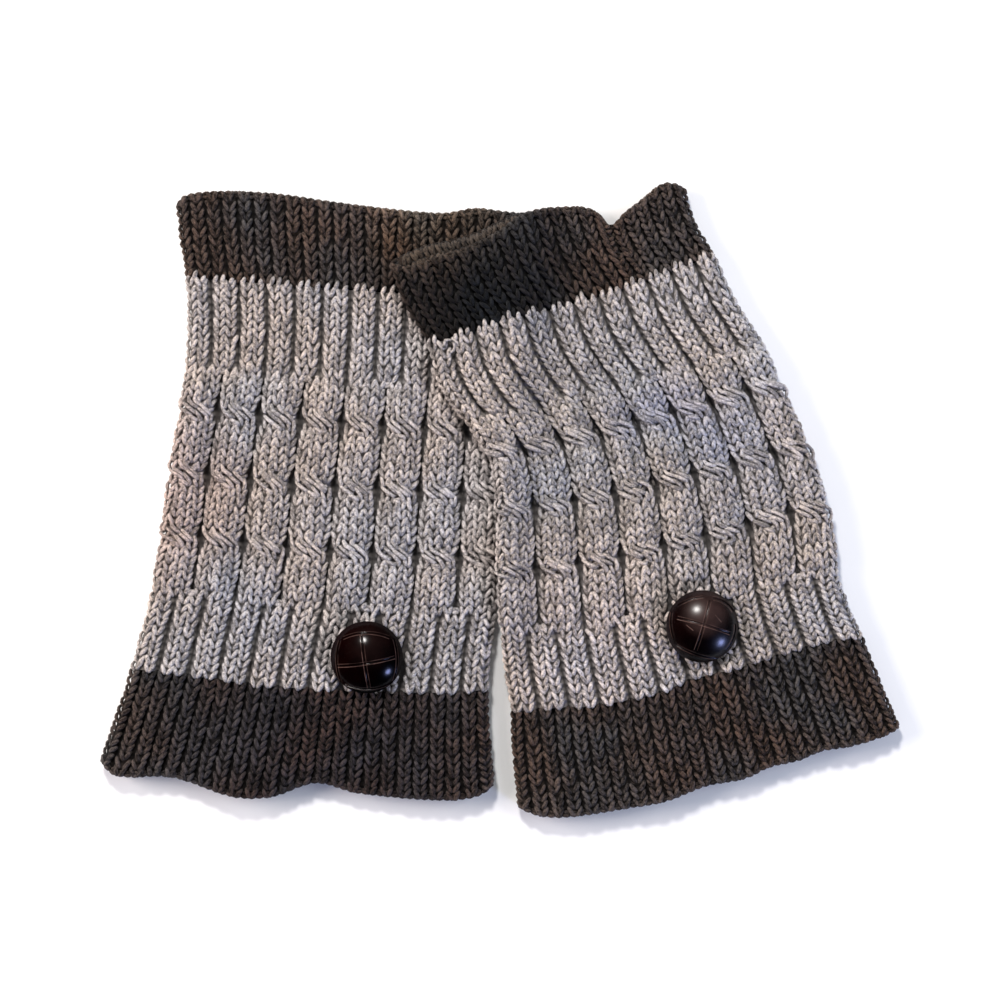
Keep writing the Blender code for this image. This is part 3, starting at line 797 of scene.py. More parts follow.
def strands(name, points, ups, girths, sides, random):
    """Many short lengths of round yarn as one mesh, with a UV map along and round each, and its own shade."""
    count, rings, _ = points.shape
    tangents = unit(np.gradient(points, axis=1))
    across = unit(np.cross(tangents, ups))
    raised = np.cross(across, tangents)
    angles = 2 * math.pi * np.arange(sides) / sides
    cosines, sines = np.cos(angles)[:, None], np.sin(angles)[:, None]
    circle = across[:, :, None] * cosines + raised[:, :, None] * sines * FLATNESS
    coordinates = points[:, :, None] + circle * girths[:, :, None, None]
    index = np.arange(count * rings * sides).reshape(count, rings, sides)
    turned = np.roll(index, -1, axis=2)
    quads = np.stack([index[:, :-1], turned[:, :-1], turned[:, 1:], index[:, 1:]], axis=-1).reshape(-1, 4)
    loops = np.concatenate([quads.reshape(-1), index[:, 0, ::-1].reshape(-1), index[:, -1].reshape(-1)])
    totals = np.concatenate([np.full(len(quads), 4), np.full(2 * count, sides)])
    lengths = np.linalg.norm(np.diff(points, axis=1), axis=-1)
    along = np.concatenate([np.zeros((count, 1)), np.cumsum(lengths, axis=1)], axis=1)
    along = along + random.uniform(0, 40, (count, 1))
    side = np.arange(index.size) % sides
    v = side[loops] / sides
    v[: quads.size] = (side[quads[:, :1]] + np.array([0, 1, 1, 0])).reshape(-1) / sides
    uvs = np.stack([np.repeat(along.reshape(-1), sides)[loops], v], axis=-1)
    shades = np.repeat(random.uniform(0, 1, count), rings * sides)
    # Painted shade: each length darkens towards its two ends, where it dives between the stitches, and on its
    # underside
    ends = np.abs(np.linspace(-1, 1, rings)) ** 3
    under = 0.5 - 0.5 * np.sin(angles)
    painted_shade = np.broadcast_to(np.maximum(ends[:, None], under[None]), (count, rings, sides)).reshape(-1)
    return build(name, coordinates.reshape(-1, 3), loops, totals, uvs, shades, painted_shade)


def build(name, coordinates, loops, totals, uvs, shades, painted_shade):
    """A smooth object from arrays in millimetres, with its UV map, each point's own shade, and how much
    painted shade it gets.
    """
    data = bpy.data.meshes.new(name)
    data.vertices.add(len(coordinates))
    data.vertices.foreach_set("co", (coordinates * MM).reshape(-1))
    data.loops.add(len(loops))
    data.loops.foreach_set("vertex_index", loops.astype(np.int32))
    data.polygons.add(len(totals))
    data.polygons.foreach_set("loop_start", (np.cumsum(totals) - totals).astype(np.int32))
    data.polygons.foreach_set("loop_total", totals.astype(np.int32))
    layer = data.uv_layers.new(name="yarn")
    layer.data.foreach_set("uv", uvs.astype(np.float32).reshape(-1))
    for label, numbers in (("shade", shades), ("painted_shade", painted_shade)):
        attribute = data.attributes.new(label, "FLOAT", "POINT")
        attribute.data.foreach_set("value", numbers.astype(np.float32))
    data.update(calc_edges=True)
    data.validate()
    data.shade_smooth()
    made = bpy.data.objects.new(name, data)
    bpy.context.scene.collection.objects.link(made)
    return made


def wall(tube, sizes, piece, rows, columns):
    """One closed knitted wall, open at both ends, a little inside the yarn that lies on it."""
    shares = np.linspace(0, 1, columns + 1)
    back_columns = columns // 3
    back_shares = np.linspace(1, 0, back_columns + 1)[1:-1]
    grid_row, grid_share = np.meshgrid(rows, shares, indexing="ij")
    x, y = floor_place(tube, grid_row, grid_share, False)
    height = relief(tube, sizes, piece, grid_row, grid_share, x, y, STITCH_SEAT - 0.2)
    depth = np.full_like(height, -WALL_DEPTH)
    if piece == "body":
        depth = depth - WALL_DENT * crossing_dents(grid_share, grid_row)
    front = tube.at(grid_row, grid_share, height, depth, False)
    back_row, back_share = np.meshgrid(rows, back_shares, indexing="ij")
    back_depth = np.full_like(back_row, -BACK_WALL_DEPTH)
    back = tube.at(back_row, back_share, back_depth, np.zeros_like(back_row), True)
    outer = np.concatenate([front, back], axis=1)
    linings = [tube.inside(grid_row, grid_share, False), tube.inside(back_row, back_share, True)]
    inner = np.concatenate(linings, axis=1)
    every = max(1, len(rows) // INNER_ROWS)
    picked = sorted({*range(0, len(rows), every), len(rows) - 1})
    inner = inner[picked]
    around = outer.shape[1]
    outside = np.arange(outer.shape[0] * around).reshape(-1, around)
    inside = outside[-1, -1] + 1 + np.arange(inner.shape[0] * around).reshape(-1, around)
    around_shares = np.concatenate([shares, 2 - back_shares])
    next_shares = np.append(around_shares[1:], 2.0)

    def strip(first, second, first_v, second_v):
        """Faces between two rings, with u round the tube and v along it, in stitches."""
        faces = np.stack([first, second, np.roll(second, -1), np.roll(first, -1)], axis=-1)
        u = np.stack([around_shares, around_shares, next_shares, next_shares], axis=-1)
        v = np.broadcast_to([first_v, second_v, second_v, first_v], u.shape)
        return faces, np.stack([u, v], axis=-1)

    strips = [strip(outside[i], outside[i + 1], rows[i], rows[i + 1]) for i in range(len(rows) - 1)]
    inner_rows = rows[picked]
    for i in range(len(inner_rows) - 1):
        strips.append(strip(inside[i + 1], inside[i], inner_rows[i + 1], inner_rows[i]))
    strips.append(strip(inside[0], outside[0], rows[0], rows[0]))
    strips.append(strip(outside[-1], inside[-1], rows[-1], rows[-1]))
    faces = np.concatenate([faces for faces, _ in strips])
    uvs = np.concatenate([uv for _, uv in strips]).reshape(-1, 2)
    coordinates = np.concatenate([outer.reshape(-1, 3), inner.reshape(-1, 3)])
    name = f"{tube.warmer.name}_{piece}_wall"
    shades = np.full(len(coordinates), 0.5)
    # Painted shade on the front of the wall: the lower it lies between the ribs and cables, the darker
    painted_shade = np.zeros(len(coordinates))
    painted_shade[outside[:, : columns + 1]] = np.clip(1.1 - height / 0.7, 0, 1)
    return build(name, coordinates, faces.reshape(-1), np.full(len(faces), 4), uvs, shades, painted_shade)


def maths(operation, reflected=False):
    """A method of Value that adds one Math node. A reflected form takes its own number second."""

    def method(self, *others):
        numbers = (*others, self) if reflected else (self, *others)
        return self.paint.value("ShaderNodeMath", {"operation": operation}, dict(enumerate(numbers)))

    return method


class Value:
    """A number that changes over a surface, so that shader maths reads as plain Python."""

    __add__ = maths("ADD")
    __radd__ = maths("ADD", True)
    __sub__ = maths("SUBTRACT")
    __rsub__ = maths("SUBTRACT", True)
    __mul__ = maths("MULTIPLY")
    __rmul__ = maths("MULTIPLY", True)
    __truediv__ = maths("DIVIDE")
    __pow__ = maths("POWER")
    sine = maths("SINE")
    size = maths("ABSOLUTE")

    def __init__(self, paint, socket):
        self.paint = paint
        self.socket = socket

    def limited(self):
        return self.paint.value("ShaderNodeClamp", {}, {"Value": self})


class Paint:
    """One material and its nodes."""

    def __init__(self, name, **constants):
        self.material = bpy.data.materials.new(name)
        self.material.use_nodes = True
        self.tree = self.material.node_tree
        self.shader = self.tree.nodes["Principled BSDF"]
        for socket, constant in constants.items():
            self.shader.inputs[socket.replace("_", " ")].default_value = constant

    def node(self, kind, settings, inputs):
        """A node of one kind: its settings first, then the values or links of its sockets."""
        made = self.tree.nodes.new(kind)
        for name, setting in settings.items():
            setattr(made, name, setting)
        for name, given in inputs.items():
            self.join(given, made.inputs[name])
        return made

    def join(self, given, socket):
        if isinstance(given, Value):
            given = given.socket
        if isinstance(given, bpy.types.NodeSocket):
            self.tree.links.new(given, socket)
        else:
            socket.default_value = given

    def value(self, kind, settings, inputs, output=0):
        return Value(self, self.node(kind, settings, inputs).outputs[output])

    def noise(self, where, scale, detail=2.0, roughness=0.5):
        inputs = {"Vector": where, "Scale": scale, "Detail": detail, "Roughness": roughness}
        return self.value("ShaderNodeTexNoise", {"noise_dimensions": "3D"}, inputs, "Fac")

    def vector(self, x, y, z):
        return self.node("ShaderNodeCombineXYZ", {}, {0: x, 1: y, 2: z}).outputs[0]

    def mix(self, factor, first, second, blend="MIX"):
        """Two colours mixed; each is a colour or a socket."""
        settings = {"data_type": "RGBA", "blend_type": blend}
        return self.node("ShaderNodeMix", settings, {0: factor, 6: first, 7: second}).outputs[2]

    def bump(self, height, distance, strength):
        inputs = {"Height": height, "Distance": distance, "Strength": strength}
        return self.node("ShaderNodeBump", {}, inputs).outputs["Normal"]

    def strand(self):
        """How far along and round its strand a point is, and the strand's own shade from 0 to 1."""
        along, around = self.parts(self.node("ShaderNodeUVMap", {"uv_map": "yarn"}, {}).outputs[0])
        return along, around, self.attribute("shade")

    def parts(self, vector):
        """The first two parts of a vector."""
        made = self.node("ShaderNodeSeparateXYZ", {}, {0: vector})
        return Value(self, made.outputs[0]), Value(self, made.outputs[1])

    def attribute(self, name):
        """A number that the mesh holds for each point."""
        return self.value("ShaderNodeAttribute", {"attribute_name": name}, {}, "Fac")

    def place(self):
        return self.node("ShaderNodeTexCoord", {}, {}).outputs["Object"]

    def toward(self, vector, direction):
        """How far a vector goes in a direction."""
        inputs = {0: vector, 1: tuple(direction)}
        return self.value("ShaderNodeVectorMath", {"operation": "DOT_PRODUCT"}, inputs, "Value")

    def put(self, socket, given):
        self.join(given, self.shader.inputs[socket])


def shown(color):
    """A colour of a property, ready for a socket."""
    return (*color[:3], 1.0)


def near(off_x, off_y, radius):
    """1 in the middle of a round place, fading to 0 at its radius."""
    return (1.0 - (off_x * off_x + off_y * off_y) / (radius * MM) ** 2).limited()


def light_shade_and_tint_spots(paint, colour, places):
    """Tints a colour in soft round places over the floor, each at its own point, radius and strength: painted
    light and shade, and some browner and paler places.
    """
    x, y = paint.parts(paint.place())
    for spot in places:
        mask = near(x - spot.x * MM, y - spot.y * MM, spot.radius)
        colour = paint.mix(mask * spot.strength, colour, shown(spot.colour), "MULTIPLY")
    return colour


def light_and_tone_patches(paint, colour, yarn):
    """Warmer and cooler patches over the cloth, in a few centimetres: painted warm and cool light with the
    body's tints, and browner and cooler tones with the bands' tints.
    """
    patches = (paint.noise(paint.place(), yarn.patch_scale, 1.0) * 4.0 - 1.5).limited()
    return paint.mix(1.0, colour, paint.mix(patches, shown(yarn.cool), shown(yarn.warm)), "MULTIPLY")


def dusk(yarn, share):
    """The yarn's darkest shade, where hardly any light reaches it."""
    return shown(tuple(share * part for part in yarn.dark))


def yarn_paint(name, yarn, sheen):
    """Round yarn: two shades of fibre, plied along the strand, and painted shade down between the stitches,
    at the ends and underside of each length.
    """
    paint = Paint(name, Roughness=0.62, Sheen_Weight=sheen, Sheen_Roughness=0.5, Specular_IOR_Level=sheen * 2)
    along, around, shade = paint.strand()
    fibres = paint.noise(paint.vector(along * 1.3, around * 6.0, shade * 40.0), 1.0, 3.0, 0.7)
    plies = ((along * 2.2 + around * 3.0) * (2 * math.pi)).sine()
    mottled = (fibres * 3.4 - 1.25 + (shade - 0.5) * 0.6 + plies * 0.15).limited()
    colour = light_and_tone_patches(paint, paint.mix(mottled, shown(yarn.dark), shown(yarn.light)), yarn)
    # Painted shade: the yarn goes over to its dusk colour where its points are marked as lying in shade
    painted_shade_share = (paint.attribute("painted_shade") * 1.5 - 0.32).limited()
    paint.put("Base Color", paint.mix(painted_shade_share, light_shade_and_tint_spots(paint, colour, yarn.places), dusk(yarn, 0.25)))
    paint.put("Normal", paint.bump(plies * 0.5 + fibres * 1.2, 0.00025, 0.8))
    return paint.material


def wall_paint(name, yarn, sheen, columns):
    """The purl side between the ribs: a ladder of small dark bars across each groove, its colour painted in
    shade and darkest down in the gutters.
    """
    paint = Paint(name, Roughness=0.95, Sheen_Weight=sheen, Sheen_Roughness=0.5, Specular_IOR_Level=0.2)
    around, along, _ = paint.strand()
    rungs = ((along + 0.25) * (2 * math.pi)).sine()
    loops = (around * (columns * 2 * math.pi)).sine()
    fibres = paint.noise(paint.place(), 900.0, 3.0, 0.6)
    mottled = (fibres * 1.2 - 0.1 + rungs * 0.18).limited()
    colour = light_and_tone_patches(paint, paint.mix(mottled, shown(yarn.dark), shown(yarn.light)), yarn)
    painted_shade = paint.attribute("painted_shade")
    # Painted shade: the wall's colour goes at least seven tenths of the way to its dusk colour, and all the
    # way in the gutters
    painted_shade_colour = paint.mix((painted_shade * 0.3 + 0.7).limited(), colour, dusk(yarn, 0.32))
    paint.put("Base Color", light_shade_and_tint_spots(paint, painted_shade_colour, yarn.places))
    bars = rungs * (1.0 - painted_shade * 0.7)
    paint.put("Normal", paint.bump(bars + loops * 0.3 + fibres * 0.6, 0.0006, 0.9))
    return paint.material


def worn_line(past, away, width):
    """1 on a line so far past the plane of a groove, fading to 0 on both sides of it."""
    return (1.0 - (past - away * MM).size() / (width * MM)).limited()


def leather_paint(name, colours, middle, cuts, button):
    """Dark leather look, painted a deeper red on the side that the window lamp lights, with a painted glow
    round its highlight, and worn paler along both sides of each groove and along the scratches.
    """
    coat = {"Coat_Weight": button.coat, "Coat_Roughness": button.gloss}
    paint = Paint(name, Specular_IOR_Level=button.satin, Specular_Tint=(1, 0.75, 0.6, 1), **coat)
    grain = paint.noise(paint.place(), 1500.0, 3.0, 0.6)
    clouds = paint.noise(paint.place(), 220.0, 2.0, 0.5)
    settings = {"operation": "SUBTRACT"}
    here = paint.node("ShaderNodeVectorMath", settings, {0: paint.place(), 1: middle}).outputs[0]
    worn = 0.0
    for cut in cuts:
        past = paint.toward(here, cut.normal) - cut.away * MM
        if cut.kind == "scratch":
            line = worn_line(past, 0.0, SCRATCH_WIDTH) * 1.8
        else:
            line = worn_line(past, WORN_LINE_AWAY, WORN_LINE_WIDTH) * 0.4
            line = line + worn_line(past, -WORN_LINE_AWAY, WORN_LINE_WIDTH) * 0.9
        for side in cut.sides:
            line = line * (paint.toward(here, side) / (0.3 * MM)).limited()
        worn = line * (0.9 if cut.kind == "cross" else 0.6) + worn
    # Painted light: a deeper red towards the upper left, the side that the window lamp lights, broken up by
    # clouds of darker tone
    lit_side_and_clouds = paint.toward(here, (-0.7, 0.7, 0.0)) / (20 * MM) + clouds * 1.2 - 0.15
    depth = paint.mix(lit_side_and_clouds.limited(), shown(colours.leather_dark), shown(colours.leather))
    x, y = paint.parts(here)
    # Painted highlight: a paler warm glow round the window lamp's highlight, strong on the right button and
    # faint on the left
    crown = near(x - HIGHLIGHT_GLOW_X * MM, y - HIGHLIGHT_GLOW_Y * MM, HIGHLIGHT_GLOW_RADIUS)
    painted_glow = crown ** 1.6 * (clouds * 1.4 + 0.3) * button.crown
    depth = paint.mix(painted_glow.limited(), depth, shown(colours.leather_glow))
    scuffed = (worn * (grain * 1.3 + 0.2) * (clouds * 3.0 - 0.7).limited()).limited()
    paint.put("Base Color", paint.mix(scuffed, depth, shown(colours.leather_worn)))
    paint.put("Roughness", (worn * 0.3 + grain * 0.15 + (button.gloss + 0.1)).limited())
    paint.put("Normal", paint.bump(grain + clouds * 0.8, 0.00012, 0.5))
    return paint.material


def dress(piece, material, slot, *nodes):
    """Gives a piece its material and its body, and hides the nodes that it stands for; its slot is not used.
    """
    piece.data.materials.clear()
    piece.data.materials.append(material)
    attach(piece, "root")
    if nodes:
        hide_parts(*nodes)


def parted(first, last):
    """The ends of a piece, drawn in where it meets its neighbour."""
    half_seam = 0.06
    return (first if first == MOUTH else first + half_seam), (last if last == HEM_END else last - half_seam)


def edge_chain(tube, sizes, row, seed):
    """The bound-off edge: one link of yarn after another round a rim."""
    links = round(face_length(tube.width_at(row)) / LINK_LENGTH)
    random = np.random.default_rng(seed)
    towards = 1 if row == MOUTH else -1
    starts = (np.arange(links)[:, None] + 0.5) / links
    runs = []
    for back in (False, True):
        for hand in (-1, 1):
            shares = np.clip(starts + np.linspace(-0.62, 0.62, 5) / links * (1 - 2 * back), 0, 1)
            rows = np.clip(row + towards * (0.28 + LINK_BOW * hand * 0.32), MOUTH, HEM_END) + 0 * shares
            offs = LINK_HEIGHT + random.normal(0, 0.08, (links, 1))
            offs = offs + (0.0 if hand * towards > 0 else -0.35)
            height = np.full_like(shares, -1.0)
            if not back:
                x, y = floor_place(tube, rows, shares, back)
                count = TOP_RIBS if row == MOUTH else HEM_RIBS
                height = band_relief(count, shares) * 0.9 * tube.bare(x, y) - 0.7
            runs.append(tube.laid(rows, shares, height, offs, back))
    points, ups = (np.concatenate(parts) for parts in zip(*runs))
    girths = np.broadcast_to(LINK_GIRTH * sizes.band_yarn / MM, points.shape[:2])
    name = f"{tube.warmer.name}_{'mouth' if row == MOUTH else 'hem'}_edge"
    return strands(name, points, ups, girths, 6, random)


def mouth_lining(tube, sizes, seed):
    """The yarn that shows on the inside of the back wall, where it looks out past the front at the mouth."""
    random = np.random.default_rng(seed)
    columns, rows = np.meshgrid((np.arange(TOP_RIBS) + 0.5) / TOP_RIBS, np.arange(LINING_ROWS) + 0.2)
    runs = []
    for hand in (-1, 1):
        for shift in (0.0, 0.5):
            shake = random.normal(0, 1, (3, columns.size, 1))
            at = rows.reshape(-1, 1) + LEG_ROWS[::-1] * 0.9 + shake[0] * 0.06
            aside = (hand * LEG_ASIDE * 0.6 + shift) / TOP_RIBS + shake[1] * 0.002
            across = np.clip(columns.reshape(-1, 1) + aside, 0.002, 0.998)
            points = tube.inside(np.clip(at, MOUTH, HEM_END), across, True)
            points[..., 2] += 0.25 + LEG_HEIGHT * 0.6 + shake[2] * 0.08
            runs.append(points)
    points = np.concatenate(runs)
    ups = np.zeros_like(points)
    ups[..., 2] = 1.0
    girths = np.broadcast_to(LEG_GIRTH * sizes.band_yarn / MM, points.shape[:2])
    return strands(f"{tube.warmer.name}_mouth_lining", points, ups, girths, 6, random)


def deselect():
    bpy.ops.object.select_all(action="DESELECT")


def joined(first, other):
    """The first object with the other made part of it."""
    deselect()
    first.select_set(True)
    other.select_set(True)
    bpy.context.view_layer.objects.active = first
    bpy.ops.object.join()
    return first


def on_dome(radius, point):
    """The point on a button's dome over a point of its plan, from the dome's centre."""
    x, y = point
    return Vector((x, y, math.sqrt(radius**2 - x * x - y * y)))


def button_cuts(button, ball):
    """The planes that a button's grooves and scratches lie in, and the two planes that end each of them."""
    cuts = []
    for kind, grooves in (("arc", button.arcs), ("cross", button.grooves), ("scratch", button.scratches)):
        for groove in grooves:
            first, middle, last = (on_dome(ball, point) for point in groove)
            normal = (middle - first).cross(last - first).normalized()
            sides = []
            for end in (first, last):
                side = normal.cross(end).normalized()
                sides.append(side if side.dot(middle) > 0 else -side)
            cuts.append(Cut(normal, normal.dot(first), sides, kind))
    return cuts


def carve(made, cut, ball, girth):
    """Cuts one groove into a button: the part of a ring between the groove's ends is taken out of it."""
    deselect()
    bpy.ops.mesh.primitive_torus_add(
        align="WORLD",
        location=cut.normal * cut.away * MM,
        rotation=cut.normal.to_track_quat("Z", "Y").to_euler(),
        major_segments=RING_SEGMENTS,
        minor_segments=10,
        major_radius=math.sqrt(ball**2 - cut.away**2) * MM,
        minor_radius=girth * MM,
    )
    ring = bpy.context.object
    bpy.ops.object.mode_set(mode="EDIT")
    for side in cut.sides:
        bpy.ops.mesh.select_all(action="SELECT")
        bpy.ops.mesh.bisect(plane_co=(0, 0, 0), plane_no=side, use_fill=True, clear_inner=True)
    bpy.ops.object.mode_set(mode="OBJECT")
    deselect()
    made.select_set(True)
    bpy.context.view_layer.objects.active = made
    taken = made.modifiers.new("groove", "BOOLEAN")
    taken.operation = "DIFFERENCE"
    taken.solver = "MANIFOLD"
    taken.object = ring
    bpy.ops.object.modifier_apply(modifier=taken.name)
    bpy.data.objects.remove(ring)


def make_button(warmer, sizes):
    """A domed button with its cross and arcs cut into it, on the knitting at its own place."""
    radius = sizes.button_radius / MM
    ball = (radius**2 + DOME_RISE**2) / (2 * DOME_RISE)
    base = ball - DOME_RISE
    shape = warmer.button
    bpy.ops.mesh.primitive_uv_sphere_add(segments=BALL_SEGMENTS, ring_count=BALL_RINGS, radius=ball * MM)
    made = bpy.context.object
    made.name = f"{warmer.name}_button_cap"
    bpy.ops.object.mode_set(mode="EDIT")
    bpy.ops.mesh.select_all(action="SELECT")
    bpy.ops.mesh.bisect(
        plane_co=(0, 0, base * MM), plane_no=(0, 0, 1), use_fill=True, clear_inner=True, clear_outer=False
    )
    for step, scale in RIM_STEPS:
        bpy.ops.mesh.extrude_region_move(TRANSFORM_OT_translate={"value": (0, 0, -step * MM)})
        bpy.ops.transform.resize(value=(scale, scale, 1))
    bpy.ops.object.mode_set(mode="OBJECT")
    cuts = button_cuts(shape, ball)
    for cut in cuts:
        if cut.kind != "scratch":
            carve(made, cut, ball, sizes.groove_width / MM / 2 * (1.0 if cut.kind == "cross" else 0.8))
    soften = made.modifiers.new("soften", "BEVEL")
    soften.width = 0.2 * MM
    soften.segments = 2
    soften.angle_limit = math.radians(38)
    bpy.ops.object.modifier_apply(modifier=soften.name)
    mesh = made.data
    mesh.shade_smooth()
    places = np.zeros(len(mesh.vertices) * 3, np.float32)
    mesh.vertices.foreach_get("co", places)
    places = places.reshape(-1, 3)
    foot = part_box(f"{warmer.name}_button")[0][2]
    middle = np.array([shape.x * MM, shape.y * MM, foot - float(places[:, 2].min())])
    mesh.vertices.foreach_set("co", (places + middle).astype(np.float32).reshape(-1))
    mesh.update()
    return made, tuple(middle), cuts


def measure(name, description, default, least=0.0):
    return bpy.props.FloatProperty(
        name=name, description=description, default=default, min=least, unit="LENGTH"
    )


class LegWarmerSizes(bpy.types.PropertyGroup):
    """Sizes of the yarn, the relief and the buttons."""

    body_yarn: measure("Body yarn", "Radius of the body's yarn", 0.00078, 0.0002)
    band_yarn: measure("Band yarn", "Radius of the bands' yarn", 0.00076, 0.0002)
    rib_height: measure("Rib height", "How far the body's ribs stand out", 0.0012)
    cable_height: measure("Cable height", "How far the cables stand out", 0.0026)
    crossing_rise: measure("Crossing rise", "Rise of the strand that crosses over", 0.0015)
    crossing_dip: measure("Crossing dip", "Dip of the strand that crosses under", 0.0004)
    button_radius: measure("Button radius", "Radius of a button", 0.0125, 0.005)
    groove_width: measure("Groove width", "Width of a button's grooves", 0.0008, 0.0002)


def tint(name, description, default):
    return bpy.props.FloatVectorProperty(
        name=name, description=description, default=default, size=3, min=0, max=1, subtype="COLOR"
    )


class LegWarmerColours(bpy.types.PropertyGroup):
    """Colours of the yarns, the leather look and the stage."""

    heather_light: tint("Heather, light fibre", "Light fibre of the body's yarn", (0.76, 0.70, 0.665))
    heather_dark: tint("Heather, dark fibre", "Dark fibre of the body's yarn", (0.17, 0.153, 0.147))
    band_light: tint("Band, light fibre", "Light fibre of the bands' yarn", (0.135, 0.112, 0.102))
    band_dark: tint("Band, dark fibre", "Dark fibre of the bands' yarn", (0.012, 0.009, 0.008))
    lining_light: tint("Lining, light fibre", "Light fibre inside the mouth", (0.115, 0.090, 0.070))
    # The warm and cool tints are painted warm and cool light in the body's patches; the bands' brown and cool
    # tints give the bands browner and cooler patches
    warm: tint("Warm patches", "Tint of the warmer patches", (1.0, 0.93, 0.88))
    cool: tint("Cool patches", "Tint of the cooler patches", (0.93, 0.95, 1.0))
    band_warm: tint("Band, brown patches", "Tint of the browner patches", (1.0, 0.80, 0.68))
    band_cool: tint("Band, cool patches", "Tint of the cooler patches", (0.82, 0.90, 0.97))
    # Painted light on the leather: its main colour is the deeper red side towards the window lamp, and its
    # dark colour the side away from it and the dark clouds
    leather: tint("Leather", "Main colour of the buttons", (0.0034, 0.0004, 0.0004))
    leather_dark: tint("Leather, dark", "Darker clouds in the buttons", (0.0004, 0.0002, 0.0004))
    # The next colour is the painted glow round the window lamp's highlight, on the top of each button
    leather_glow: tint("Leather, rubbed", "Paler crown of the right button", (0.040, 0.022, 0.020))
    leather_worn: tint("Leather, worn", "Paler edges of the grooves", (0.17, 0.10, 0.085))
    floor: tint("Floor", "Colour of the floor", (0.93, 0.93, 0.93))


class LEGWARMERS_OT_stage(bpy.types.Operator):
    """Lay the pale floor, hang the soft lights and set up the camera straight above"""

    bl_idname = "legwarmers.stage"
    bl_label = "Stage"

    def execute(self, context):
        colours = context.scene.leg_warmer_colours
        deselect()
        bpy.ops.mesh.primitive_plane_add(size=4.0, location=(0, 0, 0))
        floor = context.object
        floor.name = "floor"
        paint = Paint("pale_floor", Roughness=0.9, Specular_IOR_Level=0.1)
        paint.put("Base Color", shown(colours.floor))
        floor.data.materials.append(paint.material)
        for lamp in LIGHTS:
            data = bpy.data.lights.new(lamp.name, "AREA")
            data.shape = "DISK"
            data.size = lamp.size
            data.energy = lamp.power
            data.color = lamp.colour
            light = bpy.data.objects.new(lamp.name, data)
            light.location = lamp.place
            light.visible_glossy = lamp.shines
            light.rotation_euler = Vector(lamp.place).to_track_quat("Z", "Y").to_euler()
            context.scene.collection.objects.link(light)
        world = bpy.data.worlds.new("studio")
        world.use_nodes = True
        background = world.node_tree.nodes["Background"]
        background.inputs["Color"].default_value = (0.95, 0.97, 1.0, 1)
        background.inputs["Strength"].default_value = 0.22
        context.scene.world = world
        world.cycles_visibility.glossy = False
        context.scene.view_settings.view_transform = "Standard"
        camera = bpy.data.cameras.new("camera")
        camera.sensor_width = 36.0
        camera.lens = 120.0
        eye = bpy.data.objects.new("camera", camera)
        eye.location = (0, 0, EYE_HEIGHT)
        context.scene.collection.objects.link(eye)
        context.scene.camera = eye
        return {"FINISHED"}


